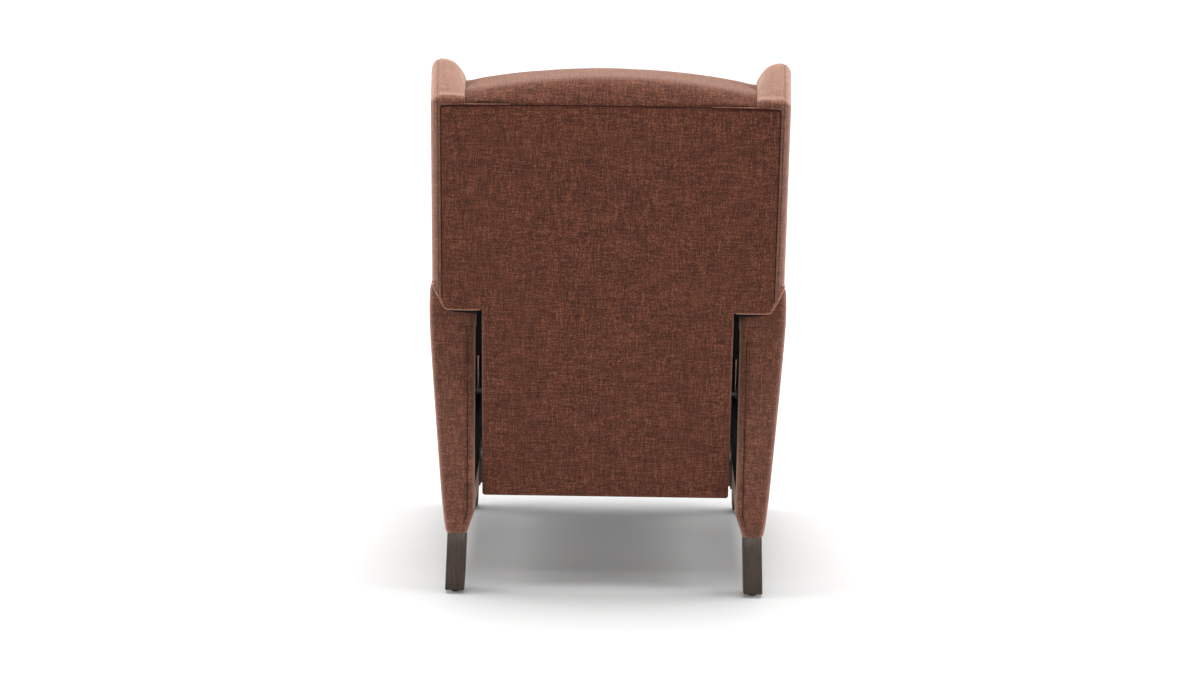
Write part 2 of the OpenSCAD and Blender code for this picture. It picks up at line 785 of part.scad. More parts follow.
module back_springs() {
    color("dimgray") on_back() for (x = back_wire_places)
        translate([x, -panel_t - rail_t / 2, rail_h + wire_low]) rotate([0, -90, 0])
            rotate([90, 0, 0]) wire(back_wire_length, spring_half, back_bends);
}

module outside_back() {
    color("sienna") on_back() rotate([90, 0, 0]) linear_extrude(panel_t)
        polygon([[-narrow_half, -narrow_drop], [narrow_half, -narrow_drop], [narrow_half, 0],
            [panel_half - panel_corner, 0], [panel_half, corner_rise], [panel_half, frame_rise],
            [-panel_half, frame_rise], [-panel_half, corner_rise],
            [-panel_half + panel_corner, 0], [-narrow_half, 0]]);
}

// Places up the inside back, with the depth of each as a share of the full pad
back_levels = [0, 0.012, 0.05, 0.15, 0.3, 0.42, 0.5, 0.54, 0.58, 0.7, 0.85, 0.95, 0.985, 1];

module inside_back() {
    y0 = -post_front - pad_gap;
    top = roll_low - pad_gap;
    color("chocolate") on_back() skin([for (s = back_levels) let (
            z = -pad_drop + (top + pad_drop) * s,
            open = max(0, min(1, (z - step_z) / (2 * pad_draw))),
            end = pow(abs(2 * s - 1), 16) * (channel_in + 1),
            half = (arm_in - side_gap) * (1 - open) + (wing_in - 0.5) * open - end,
            in = end + channel_in * pow(cos(180 * (s - 0.54)), 60),
            crown = (channel_in + 1) * sin(180 * min(1, s * 1.8)))
        [for (i = [0:outline_steps - 1]) let (t = 360 * i / outline_steps, c = cos(t), d = sin(t),
                y = y0 - (back_pad - in) / 2 * (1 - soft(d, 5))
                    - (d < 0 ? 1 : 0) * crown * (1 - c * c) * abs(d))
            [half * soft(c, 9) * (1 - open) + splayed(half * soft(c, 9), y) * open, y, z]]]);
}

// Corner radii of the head roll, from its inner lower corner round to its upper rear one
roll_r1 = 0.14 * back_pad;
roll_r2 = 0.26 * back_pad;
roll_r3 = 0.44 * back_pad;

// Outline of the head roll as y and z in the back's frame, starting at its inside corner
roll_depth = post_front + back_pad;
roll_seat = frame_rise + pad_gap;

function roll_outline(top, in) = concat(
    [[-post_front - pad_gap, roll_seat], [-post_front - pad_gap, roll_low + 14]],
    arc([-post_front - pad_gap - roll_r1, roll_low + roll_r1], roll_r1, -10, -90, 3),
    arc([-roll_depth + roll_r2 - in, roll_low + roll_r2], roll_r2, 270, 180, 4),
    [for (i = [1:3]) [-roll_depth - seat_crown * sin(180 * i / 4) + in,
        roll_low + roll_r2 + (top - roll_slope - roll_low - roll_r2 - roll_r3) * i / 4]],
    arc([-roll_depth + roll_r3 + pad_draw - in, top - roll_slope - roll_r3], roll_r3, 180, 90, 6),
    arc([-roll_r4, top - roll_r4], roll_r4, 90, 10, 6),
    [[-in / 2, roll_seat + pad_draw / 2], [-in, roll_seat]]);

module head_roll() {
    color("chocolate") on_back() skin([for (s = spread) let (in = draw_in(s, wing_soft))
        [for (p = roll_outline(frame_rise + roll_rise - roll_drop * s * s - in, in))
            [-s * splayed(wing_in - 0.5, p[0]), p[0], p[1]]]]);
}

// The short rod lies in the outermost lane, above the base plate
module short_rods() {
    color([0.25, 0.25, 0.26]) both() difference() {
        translate([arm_in - 0.5 - plate_t + 0.8, 0, 0]) rotate([90, 0, 90])
            linear_extrude(plate_t - 0.8) link_shape(short_pin, lever_pin, 6, lever_end);
        bore(short_pin);
        bore(lever_pin);
    }
}

module long_rods() {
    color([0.25, 0.25, 0.26]) both() {
        difference() {
            plate(4) link_shape(long_pin, crank_pin, 7, 10);
            bore(long_pin);
        }
        stub(crank_pin, 4, 1);
    }
}

// A rivet that stops just short of the neighbouring plate; side is 1 outwards, -1 inwards
module stub(p, lane, side) {
    reach = lane_gap - 0.4;
    x0 = lane_in(lane) - (side < 0 ? reach : head_t);
    x1 = lane_out(lane) + (side > 0 ? reach : head_t);
    rod_x(p, x0, x1, pin_d);
    if (side > 0) rod_x(p, x0, x0 + head_t, head_d);
    else rod_x(p, x1 - head_t, x1, head_d);
}

module footrest_links_a() {
    color([0.25, 0.25, 0.26]) both() {
        difference() {
            plate(3) {
                link_shape(a_pin, a_end);
                link_shape(a_pin, crank_pin, 7, 10);
            }
            bore(a_pin);
        }
        stub(a_end, 3, -1);
    }
}

module footrest_links_b() {
    color([0.25, 0.25, 0.26]) both() {
        difference() {
            plate(5) link_shape(b_pin, b_end);
            bore(b_pin);
            bore(b_mid);
        }
        pin_inwards(b_end, lane_in(5) + 1, 6);
    }
}

module footrest_links_c() {
    color([0.25, 0.25, 0.26]) both() {
        difference() {
            plate(4) link_shape(a_end, c_end);
            bore(a_end);
        }
        pin_inwards(b_mid, lane_in(4) + 1, 5);
        pin_inwards(c_end, lane_in(4) + 1, 5);
    }
}

module footrest_links_d() {
    color([0.25, 0.25, 0.26]) both() {
        difference() {
            plate(6) link_shape(b_end, foot_pin);
            bore(b_end);
        }
        stub(foot_pin, 6, 1);
    }
}

module footrest_brackets() {
    z0 = foot_pin[1] - 14;
    z1 = c_end[1] + 14;
    edge = rear_y - board_w;
    color([0.2, 0.2, 0.21]) both() difference() {
        union() {
            plate(5) {
                polygon([[edge, z0], [edge, z1], [c_end[0], z1 - 3], [foot_pin[0], z0 + 3]]);
                for (p = [c_end, foot_pin]) translate(p) circle(link_end);
            }
            translate([lane_out(5) - corner_leg, edge, z0]) cube([corner_leg, plate_t, z1 - z0]);
        }
        bore(c_end);
        bore(foot_pin);
    }
}

module footrest_board() {
    half = arm_in - side_gap - 1 - board_margin;
    color("burlywood") translate([-half, rear_y - board_w - board_t, foot_z0 + board_margin])
        cube([2 * half, board_t, foot_z1 - foot_z0 - 2 * board_margin]);
}

module footrest_cushion() {
    y0 = rear_y - front_w;
    z = (foot_z0 + foot_z1) / 2;
    b = (foot_z1 - foot_z0) / 2;
    color("chocolate") skin([for (s = spread) let (in = draw_in(s, seat_crown))
        [for (i = [0:outline_steps - 1]) let (t = 360 * i / outline_steps, d = soft(sin(t), 6))
            [s * (arm_in - side_gap - 1), y0 + in + (foot_pad - pad_gap - in) * (1 + soft(cos(t), 4)) / 2,
                z + (b - in) * d]]]);
}

arm_frame();  // arm_frame_left
mirrored() arm_frame();  // arm_frame_right
arm_cover();  // arm_cover_left
mirrored() arm_cover();  // arm_cover_right
leg(leg_places[0]);  // rear_leg_left
mirrored() leg(leg_places[0]);  // rear_leg_right
leg(leg_places[1]);  // front_leg_left
mirrored() leg(leg_places[1]);  // front_leg_right
leg_glides();
leg_bolts();
base_rail(rear_rail_w);  // base_rear_rail
base_rail(front_rail_w);  // base_front_rail
base_plate();  // base_plate_left
mirrored() base_plate();  // base_plate_right
base_bolts();
rail_brackets();
front_link();  // front_link_left
mirrored() front_link();  // front_link_right
cross_tube();
rear_link();  // rear_link_left
mirrored() rear_link();  // rear_link_right
seat_plate();  // seat_plate_left
mirrored() seat_plate();  // seat_plate_right
seat_side_rail();  // seat_side_rail_left
mirrored() seat_side_rail();  // seat_side_rail_right
seat_cross_rail(seat_end_w - seat_rail_t);  // seat_front_rail
seat_cross_rail(seat_rear_w);  // seat_rear_rail
seat_springs();
spring_clips();
seat_deck();
seat_cushion();
back_bracket();  // back_bracket_left
mirrored() back_bracket();  // back_bracket_right
back_bolts();
back_post();  // back_post_left
mirrored() back_post();  // back_post_right
color("burlywood") on_back() back_rail(post_out, frame_z);  // back_lower_rail
color("burlywood") on_back() back_rail(wing_board_x, wire_low);  // back_middle_rail
color("burlywood") on_back() back_rail(wing_board_x, frame_rise - rail_h);  // back_top_rail
wing_frame();  // wing_frame_left
mirrored() wing_frame();  // wing_frame_right
wing_cover();  // wing_cover_left
mirrored() wing_cover();  // wing_cover_right
back_springs();
outside_back();
inside_back();
head_roll();
short_rods();
long_rods();
footrest_links_a();
footrest_links_b();
footrest_links_c();
footrest_links_d();
footrest_brackets();
footrest_board();
footrest_cushion();
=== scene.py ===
import bpy
import bmesh
import math
import numpy as np
from mathutils import Matrix, Vector
from mathutils.geometry import delaunay_2d_cdt


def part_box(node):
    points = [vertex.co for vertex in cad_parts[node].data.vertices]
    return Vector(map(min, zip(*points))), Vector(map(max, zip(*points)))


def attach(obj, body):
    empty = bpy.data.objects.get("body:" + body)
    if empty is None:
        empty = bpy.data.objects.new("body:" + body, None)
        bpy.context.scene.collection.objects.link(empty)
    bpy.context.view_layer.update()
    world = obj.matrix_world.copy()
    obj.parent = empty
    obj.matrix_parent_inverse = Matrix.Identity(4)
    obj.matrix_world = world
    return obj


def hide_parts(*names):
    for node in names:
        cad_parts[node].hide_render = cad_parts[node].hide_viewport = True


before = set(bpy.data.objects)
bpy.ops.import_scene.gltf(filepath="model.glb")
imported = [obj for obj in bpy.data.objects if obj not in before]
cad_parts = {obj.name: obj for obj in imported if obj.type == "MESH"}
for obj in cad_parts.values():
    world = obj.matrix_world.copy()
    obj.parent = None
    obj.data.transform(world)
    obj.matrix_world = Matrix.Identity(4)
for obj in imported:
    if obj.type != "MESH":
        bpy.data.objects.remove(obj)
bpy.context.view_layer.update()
scene = bpy.context.scene
mm = 0.001
print("frame loaded:", len(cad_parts), "nodes")


class Look(dict):  # a dictionary whose values can also be read as look.name
    __getattr__ = dict.__getitem__


# The chair's own places, in millimetres and degrees. Depths count forward from the rear of the arms
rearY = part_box("arm_cover_left")[1].y / mm
chair = Look(tilt=10.0, shelfZ=589.0, shelfBehind=46.0, armIn=258.5, wingFoot=678.0)
tilt = math.radians(chair.tilt)
stepZ = (chair.wingFoot - chair.shelfZ) / math.cos(tilt)  # the wings' feet, measured up the leaning back
backPlace = (Matrix.Translation(Vector((0, rearY + chair.shelfBehind, chair.shelfZ)) * mm)
             @ Matrix.Rotation(-tilt, 4, "X"))


class Wire:
    # A shader socket that the operators below work on; numbers and other wires may stand beside it
    def __init__(self, paint, socket):
        self.paint, self.socket = paint, socket

    def math(self, operation, *values):
        return self.paint.node("ShaderNodeMath", {"operation": operation}, *values)

    def __add__(self, other): return self.math("ADD", self, other)
    def __radd__(self, other): return self.math("ADD", other, self)
    def __sub__(self, other): return self.math("SUBTRACT", self, other)
    def __rsub__(self, other): return self.math("SUBTRACT", other, self)
    def __mul__(self, other): return self.math("MULTIPLY", self, other)
    def __rmul__(self, other): return self.math("MULTIPLY", other, self)
    def __truediv__(self, other): return self.math("DIVIDE", self, other)
    def __rtruediv__(self, other): return self.math("DIVIDE", other, self)
    def __pow__(self, other): return self.math("POWER", self, other)
    def __gt__(self, other): return self.math("GREATER_THAN", self, other)
    def __lt__(self, other): return self.math("LESS_THAN", self, other)
    def __abs__(self): return self.math("ABSOLUTE", self)
    def floor(self): return self.math("FLOOR", self)
    def fract(self): return self.math("FRACT", self)
    def cos(self): return self.math("COSINE", self)
    def most(self, other): return self.math("MAXIMUM", self, other)

    def other(self, name):
        return Wire(self.paint, self.socket.node.outputs[name])

    def mix(self, a, b):  # number a where self is 0, b where it is 1
        return a + (b - a) * self if isinstance(b, Wire) else self * (b - a) + a


class Paint:
    def __init__(self, name):
        self.material = bpy.data.materials.new(name)
        self.material.use_nodes = True
        self.tree = self.material.node_tree
        self.tree.nodes.clear()

    def put(self, socket, value):  # a wire is linked, a plain value is set
        if isinstance(value, Wire):
            self.tree.links.new(value.socket, socket)
        else:
            socket.default_value = (*value, 1) if socket.type == "RGBA" else value

    def node(self, kind, settings=None, *values, **named):
        made = self.tree.nodes.new(kind)
        for key, value in (settings or {}).items():
            if key == "stops":
                ramp = made.color_ramp
                while len(ramp.elements) < len(value):
                    ramp.elements.new(1.0)
                for element, (place, colour) in zip(ramp.elements, value):
                    element.position = place
                    element.color = (*colour, 1)
            else:
                setattr(made, key, value)
        for key, value in [*enumerate(values), *named.items()]:
            self.put(made.inputs[key if isinstance(key, int) else key.replace("_", " ")], value)
        return Wire(self, next((s for s in made.outputs if s.enabled), None))

    def colour(self, factor, a, b, blend="MIX"):
        mixed = self.node("ShaderNodeMix", {"data_type": "RGBA", "blend_type": blend}, factor)
        made = mixed.socket.node
        self.put(made.inputs[6], a)  # by number, because the number and vector inputs have the same names
        self.put(made.inputs[7], b)
        return Wire(self, made.outputs[2])

    def noise(self, scale, detail=2.0, rough=0.5, vector=None):
        if vector is None:
            vector = self.node("ShaderNodeTexCoord").other("Object")
        return self.node("ShaderNodeTexNoise", None, Vector=vector, Scale=scale, Detail=detail, Roughness=rough)

    def finish(self, height=None, depth=None, strength=None, **values):
        if height is not None:
            values["Normal"] = self.node("ShaderNodeBump", None, strength, depth, Height=height)
        self.node("ShaderNodeOutputMaterial", None, self.node("ShaderNodeBsdfPrincipled", None, **values))
        return self.material


def clothPlanes(paint):
    # Thread coordinates in metres, taken from the plane that the surface faces
    place = paint.node("ShaderNodeTexCoord")
    point = paint.node("ShaderNodeSeparateXYZ", None, place.other("Object"))
    facing = paint.node("ShaderNodeSeparateXYZ", None, place.other("Normal"))
    nx, ny, nz = (abs(facing.other(axis)) for axis in "XYZ")
    sideways, upwards = nx > ny.most(nz), nz > nx.most(ny)
    x, y, z = (point.other(axis) for axis in "XYZ")
    return sideways.mix(x, y), upwards.mix(z, y)


def plainWeave(paint, pitch):
    # One over, one under: the coordinates, the threads, where the warp is on top, and the threads' round crowns
    u, v = clothPlanes(paint)
    warp, weft = u / pitch, v / pitch
    over = ((warp.floor() + weft.floor()) * 0.5).fract() > 0.25
    return u, v, warp, weft, over, over.mix(*(((thread.fract() - 0.5) * math.pi).cos() for thread in (weft, warp)))


def wovenCloth(name, look):
    paint = Paint(name)
    u, v, warp, weft, over, crown = plainWeave(paint, look.pitch)

    def yarn(thread, along, seed):  # each thread has its own tone, which drifts slowly along it
        spot = paint.node("ShaderNodeCombineXYZ", None, thread.floor() * look.yarnStep, along / look.slub, seed)
        return paint.noise(1.0, 2.0, 0.6, spot)

    warpTone, weftTone = yarn(warp, v, look.warpSeed), yarn(weft, u, look.weftSeed)
    tone = over.mix(weftTone, warpTone)
    streak = (warpTone + weftTone) * 0.5
    cloud, fleck = paint.noise(look.cloud, 3.0), paint.noise(look.fleck, 2.0, 0.6)
    level = (tone * (1 - look.streak) + streak * look.streak - 0.5) * look.contrast + 0.5
    level = level + (cloud - 0.5) * look.cloudDepth + (fleck - 0.5) * look.fleckDepth
    ramp = paint.node("ShaderNodeValToRGB", {"stops": look.stops}, level)
    height = crown * look.crownHeight + tone * look.toneHeight
    # Painted shade between the threads: the colour darkens where each thread's round crown falls away
    gap = (crown ** 0.5) * look.gap + (1 - look.gap)
    shade = paint.colour(1.0, ramp, paint.node("ShaderNodeCombineColor", None, gap, gap, gap), "MULTIPLY")
    return paint.finish(height, look.relief, look.bump, Base_Color=shade,
                        Roughness=look.rough - tone * look.roughDip, Sheen_Weight=look.sheen,
                        Sheen_Roughness=look.sheenRough, Sheen_Tint=look.sheenTint,
                        Specular_IOR_Level=look.specular)


clothLook = Look(
    pitch=0.0019, slub=0.026, streak=0.4, contrast=2.7, cloud=16.0, cloudDepth=0.16,
    fleck=420.0, fleckDepth=2.5, yarnStep=7.31, warpSeed=2.7, weftSeed=8.4,
    stops=[(0.0, (0.046, 0.008, 0.0022)), (0.3, (0.106, 0.0218, 0.0068)), (0.5, (0.165, 0.0374, 0.0130)),
           (0.72, (0.239, 0.0629, 0.026)), (1.0, (0.381, 0.132, 0.069))],
    gap=0.35, crownHeight=0.6, toneHeight=0.8, relief=0.0007, bump=0.55, rough=0.9,
    roughDip=0.12, sheen=0.6, sheenRough=0.55, sheenTint=(1.0, 0.71, 0.58), specular=0.18)


def shadedCopy(name, shade, sheen):
    # The same cloth with its colours scaled darker or lighter and its own sheen: lit and shaded copies of one cloth,
    # which paint light and shade into it
    stops = [(place, tuple(c * shade for c in colour)) for place, colour in clothLook.stops]
    return wovenCloth(name, Look(clothLook, stops=stops, sheen=sheen))


# Painted shade: the outside back and the inside pieces take darker copies of the outer cloth
clothOuter = shadedCopy("rustWeaveOuter", 0.47, 0.62)
clothPanelShade = shadedCopy("rustWeavePanel", 0.42, 0.2)
clothInnerShade = shadedCopy("rustWeaveInner", 0.40, 0.28)
# Painted highlight: the rolled edge takes a copy of the cloth more than twice as light
clothEdgeHighlight = shadedCopy("rustWeaveEdge", 1.05, 0.9)
# Near-black colour for the cords laid in the seams: painted shade in the seam grooves
seamThread = Paint("seamThread").finish(Base_Color=(0.022, 0.007, 0.004), Roughness=0.95, Specular_IOR_Level=0.05)


def woodFinish(name, look):
    paint = Paint(name)
    point = paint.node("ShaderNodeTexCoord").other("Object")
    stretch = [look.fine] * 3
    stretch[look.grain] = look.fine * look.along
    spot = paint.node("ShaderNodeVectorMath", {"operation": "MULTIPLY"}, point, tuple(stretch))
    grain = paint.noise(1.0, 6.0, 0.62, spot)
    broad, pores = paint.noise(look.broad, 2.0, 0.5, spot), paint.noise(look.pore, 1.0, 0.5, spot)
    level = grain * look.grainShare + broad * look.broadShare - look.level
    ramp = paint.node("ShaderNodeValToRGB", {"stops": look.stops}, level)
    dark = (pores < look.poreLimit) * look.pores
    wear = paint.noise(look.wear, 3.0).mix(look.rough - 0.08, look.rough + 0.12)
    return paint.finish(grain - dark * look.poreDepth, look.relief, look.bump, Roughness=wear,
                        Base_Color=paint.colour(dark, ramp, look.poreColour), Specular_IOR_Level=look.specular)


woodLook = Look(
    broad=0.16, pore=3.1, grainShare=0.7, broadShare=0.5, level=0.1, poreLimit=0.42,
    poreDepth=0.6, wear=60.0, relief=0.0004, bump=0.35, specular=0.35)
stainedLook = Look(
    woodLook, grain=2, fine=210.0, along=0.05, rough=0.42, pores=0.7,
    stops=[(0.2, (0.017, 0.0095, 0.0052)), (0.5, (0.035, 0.0205, 0.0115)),
           (0.8, (0.057, 0.035, 0.0205))],
    poreColour=(0.012, 0.009, 0.007))
boardLook = Look(
    woodLook, fine=150.0, along=0.04, rough=0.6, pores=0.25,
    stops=[(0.2, (0.42, 0.27, 0.14)), (0.5, (0.57, 0.39, 0.22)), (0.8, (0.68, 0.50, 0.31))],
    poreColour=(0.30, 0.18, 0.09))
railLook = Look(
    boardLook, poreColour=(0.05, 0.026, 0.013),
    stops=[(0.2, (0.075, 0.038, 0.019)), (0.5, (0.115, 0.062, 0.033)), (0.8, (0.16, 0.09, 0.052))])
stainedWood = woodFinish("stainedLegWood", stainedLook)
railWood = [woodFinish("stainedRail" + axis, Look(railLook, grain=number)) for number, axis in enumerate("XY")]
boardWood = [woodFinish("frameBoard" + axis, Look(boardLook, grain=number)) for number, axis in enumerate("XYZ")]


def metalFinish(name, look):
    paint = Paint(name)
    cloud = paint.noise(look.cloud, 4.0, 0.6)
    peel = paint.noise(look.peel, 2.0)
    rough = cloud.mix(*look.rough) + (peel - 0.5) * 0.1
    return paint.finish(peel, look.relief, 0.3, Base_Color=paint.colour(cloud, look.dark, look.light),
                        Roughness=rough, Metallic=look.metal)


blackSteel = metalFinish("powderCoat", Look(
    cloud=40.0, peel=900.0, dark=(0.012, 0.012, 0.013), light=(0.030, 0.030, 0.032), rough=(0.38, 0.55), metal=0.0,
    relief=0.0002))
zincSteel = metalFinish("zincPlate", Look(
    cloud=120.0, peel=1400.0, dark=(0.42, 0.43, 0.45), light=(0.66, 0.66, 0.64), rough=(0.25, 0.42), metal=1.0,
    relief=0.0001))
springSteel = metalFinish("springWire", Look(
    cloud=90.0, peel=1100.0, dark=(0.10, 0.10, 0.11), light=(0.24, 0.23, 0.23), rough=(0.3, 0.5), metal=1.0,
    relief=0.0001))
glidePlastic = metalFinish("glidePlastic", Look(
    cloud=200.0, peel=1500.0, dark=(0.010, 0.010, 0.010), light=(0.022, 0.022, 0.022), rough=(0.35, 0.5), metal=0.0,
    relief=0.0001))
deckLook = Look(
    pitch=0.0024, dust=30.0, dustShare=0.6, crownShare=0.3, relief=0.0004, bump=0.5,
    rough=0.75, roughRise=0.2, specular=0.1)


def deckCloth(name, dark, light):
    paint, look = Paint(name), deckLook
    crown = plainWeave(paint, look.pitch)[-1]
    dust = paint.noise(look.dust, 4.0)
    # The dust noise drifts the tone; the crown share is painted shade, lighter on the threads' crowns and darker
    # between them
    shade = paint.colour(dust * look.dustShare + crown * look.crownShare, dark, light)
    return paint.finish(crown, look.relief, look.bump, Base_Color=shade,
                        Roughness=look.rough + dust * look.roughRise, Specular_IOR_Level=look.specular)


deckFabric = deckCloth("deckWeave", (0.010, 0.010, 0.011), (0.042, 0.040, 0.038))
# Near-black cloth for the sheets put in the dark gaps and under the wide part: painted shade
shadeLiningFabric = deckCloth("liningWeave", (0.002, 0.002, 0.002), (0.009, 0.0085, 0.008))
print("materials made")


def shadeSoft(obj, angle):
    obj.data.shade_smooth()
    obj.data.set_sharp_from_angle(angle=math.radians(angle))


def addPiece(name, points, faces, material, place=None, smooth=60):
    mesh = bpy.data.meshes.new(name)
    mesh.from_pydata([tuple(c * mm for c in p) for p in points], [], faces)
    obj = bpy.data.objects.new(name, mesh)
    scene.collection.objects.link(obj)
    if place is not None:
        obj.matrix_world = place
    work = bmesh.new()
    work.from_mesh(mesh)
    bmesh.ops.remove_doubles(work, verts=work.verts, dist=0.00002)
    bmesh.ops.recalc_face_normals(work, faces=work.faces)
    work.to_mesh(mesh)
    work.free()
    mesh.materials.append(material)
    shadeSoft(obj, smooth)
    return obj


def assign(piece, body, node=None):
    # The body that carries the piece, and the CAD node it stands for, which is hidden
    if node:
        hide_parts(node)
    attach(piece, body)


def loftFaces(rings, count, caps=True):
    faces = []
    for i in range(rings - 1):
        for j in range(count):
            k = (j + 1) % count
            faces.append((i * count + j, i * count + k, (i + 1) * count + k, (i + 1) * count + j))
    if caps:
        faces.append(tuple(reversed(range(count))))
        faces.append(tuple(range((rings - 1) * count, rings * count)))
    return faces


def loftPiece(name, rings, material, place=None, smooth=60):
    return addPiece(name, [p for ring in rings for p in ring], loftFaces(len(rings), len(rings[0])), material, place,
                    smooth)


def roundTurn(count):
    return [2 * math.pi * k / count for k in range(count)]


def arcPoints(cx, cy, radius, start, end, steps):
    turns = [math.radians(start + (end - start) * i / steps) for i in range(steps + 1)]
    return [(cx + radius * math.cos(t), cy + radius * math.sin(t)) for t in turns]


def offsetLoop(loop, amount):
    made, count = [], len(loop)
    for i, p in enumerate(loop):
        a, b = Vector(loop[i - 1]), Vector(loop[(i + 1) % count])
        p = Vector(p)
        before, after = (p - a).normalized(), (b - p).normalized()
        n1, n2 = Vector((-before.y, before.x)), Vector((-after.y, after.x))
        made.append(tuple(p + (n1 + n2) * (amount / max(1 + n1.dot(n2), 0.4))))
    return made


def insideLoop(points, loop):
    # Which points lie in the loop, and how far each is from it
    a = np.array(loop)
    b = np.roll(a, -1, axis=0)
    inside = np.zeros(len(points), bool)
    least = np.full(len(points), 1e9)
    for (ax, ay), (bx, by) in zip(a, b):
        crosses = (ay > points[:, 1]) != (by > points[:, 1])
        with np.errstate(divide="ignore", invalid="ignore"):
            at = (bx - ax) * (points[:, 1] - ay) / (by - ay) + ax
        inside ^= crosses & (points[:, 0] < at)
        d = np.array([bx - ax, by - ay])
        t = np.clip(((points - (ax, ay)) @ d) / max(d @ d, 1e-9), 0, 1)
        least = np.minimum(least, np.linalg.norm(points - (ax, ay) - t[:, None] * d, axis=1))
    return inside, least


def fillLoop(loop, spacing, margin):
    # Triangles over a closed loop with evenly spaced points inside it, and how far each point is from the edge
    across, up = (np.arange(low, high, spacing) for low, high in zip(np.min(loop, axis=0), np.max(loop, axis=0)))
    grid = np.array([(a, b) for a in across for b in up])
    inside, gap = insideLoop(grid, loop)
    flat = [Vector(p) for p in loop] + [Vector(p) for p in grid[inside & (gap > margin)]]
    edges = [(i, (i + 1) % len(loop)) for i in range(len(loop))]
    points, _, triangles, *_ = delaunay_2d_cdt(flat, edges, [], 1, 0.0001)
    spots = np.array([tuple(p) for p in points])
    return spots, triangles, insideLoop(spots, loop)[1]


def tubeAlong(name, points, radius, material, place=None, sides=10):
    # A round cord through the points, as a mesh
    path = [Vector(p) for p in points]
    rings = []
    for i, p in enumerate(path):
        along = (path[min(i + 1, len(path) - 1)] - path[max(i - 1, 0)]).normalized()
        side = along.cross(Vector((0, 0, 1)))
        if side.length < 0.2:  # nearly upright
            side = along.cross(Vector((1, 0, 0)))
        side.normalize()
        rise = side.cross(along).normalized()
        rings.append([tuple(p + (side * math.cos(a) + rise * math.sin(a)) * radius) for a in roundTurn(sides)])
    return loftPiece(name, rings, material, place)


def bothSides(make, *values):
    # The same piece for the left arm (+x) and, mirrored, for the right one
    for side, sign in (("Left", 1), ("Right", -1)):
        make(side, sign, *values)


# Padded pieces: a closed form is remeshed, swollen as cloth, smoothed and then seamed
softLook = Look(
    voxel=6.0, pressure=4.0, frames=20, quality=5, mass=0.3, stretch=25, shear=12,
    bend=4, smooth=0.5, passes=3)


def applyAll(obj):
    bpy.context.view_layer.update()
    shape = bpy.data.meshes.new_from_object(obj.evaluated_get(bpy.context.evaluated_depsgraph_get()))
    obj.modifiers.clear()
    old, obj.data = obj.data, shape
    bpy.data.meshes.remove(old)


def readPoints(mesh):  # in metres
    points = np.empty(len(mesh.vertices) * 3, np.float32)
    mesh.vertices.foreach_get("co", points)
    return points.reshape(-1, 3)


def writePoints(mesh, points):  # in millimetres
    mesh.vertices.foreach_set("co", (points * mm).astype(np.float32).ravel())
    mesh.update()


def swell(obj):
    # Runs the cloth with pressure inside it and gives the points where it ends
    look = softLook
    cloth = obj.modifiers.new("cloth", "CLOTH")
    setting = cloth.settings
    setting.quality, setting.mass = look.quality, look.mass
    setting.tension_stiffness = setting.compression_stiffness = look.stretch
    setting.shear_stiffness, setting.bending_stiffness = look.shear, look.bend
    setting.use_pressure, setting.uniform_pressure_force = True, look.pressure
    setting.effector_weights.gravity = 0
    cloth.collision_settings.use_collision = False
    cloth.point_cache.frame_start, cloth.point_cache.frame_end = 1, look.frames
    for number in range(1, look.frames + 1):
        scene.frame_set(number)
    points = readPoints(obj.evaluated_get(bpy.context.evaluated_depsgraph_get()).data)
    obj.modifiers.clear()
    scene.frame_set(1)
    return points


def puff(obj, cap, keep):
    # Each point moves at most cap, and stays where keep(points) puts it
    remesh = obj.modifiers.new("remesh", "REMESH")
    remesh.mode, remesh.voxel_size = "VOXEL", softLook.voxel * mm
    applyAll(obj)
    rest = readPoints(obj.data)
    step = swell(obj) - rest
    length = np.maximum(np.linalg.norm(step, axis=1, keepdims=True), 1e-9)
    writePoints(obj.data, keep((rest + step * np.minimum(1, cap * mm / length)) / mm))
    smoothing = obj.modifiers.new("smooth", "SMOOTH")
    smoothing.factor, smoothing.iterations = softLook.smooth, softLook.passes
    fine = obj.modifiers.new("fine", "SUBSURF")
    fine.levels = fine.render_levels = 1
    applyAll(obj)


def reshape(obj, change):
    # change takes and gives the points in millimetres, and the normals
    normals = np.empty(len(obj.data.vertices) * 3, np.float32)
    obj.data.vertex_normals.foreach_get("vector", normals)
    writePoints(obj.data, change(readPoints(obj.data).astype(float) / mm, normals.reshape(-1, 3).astype(float)))
    shadeSoft(obj, 70)


def soften(value, power):  # 2 gives a circle, more gives a rounder square
    return math.copysign(abs(value) ** (2 / power), value)


def closing(half):
    # From -1 to 1 in twice half steps, closer together at the ends
    return [math.sin(math.pi / 2 * (i / half - 1)) for i in range(2 * half + 1)]


def boxRing(x, y, z, a, b, square):
    # A section of a box with rounded corners: its centre, its half depth and half height, and how square it is
    return [(x, y + a * soften(math.cos(t), square[0]), z + b * soften(math.sin(t), square[1])) for t in roundTurn(48)]


def within(low, high):  # keeps points in a box
    return lambda p: np.clip(p, np.float32(low), np.float32(high))


def sinkSeam(p, n, axis, level, depth, width=2.2):
    # A groove at a level of one axis, where the surface runs along that axis
    near = np.exp(-((p[:, axis] - level) / width) ** 2) * depth * np.clip(1.4 - 2 * np.abs(n[:, axis]), 0, 1)
    return p - n * near[:, None]


seatLook = Look(
    half=257.0, back=150.0, front=700.0, low=386.0, high=490.0, crown=13.0, draw=10.0,
    less=4.0, cap=18.0, proud=9.0, seams=(402.0, 481.0), seamDepth=2.2, square=(9, 6))


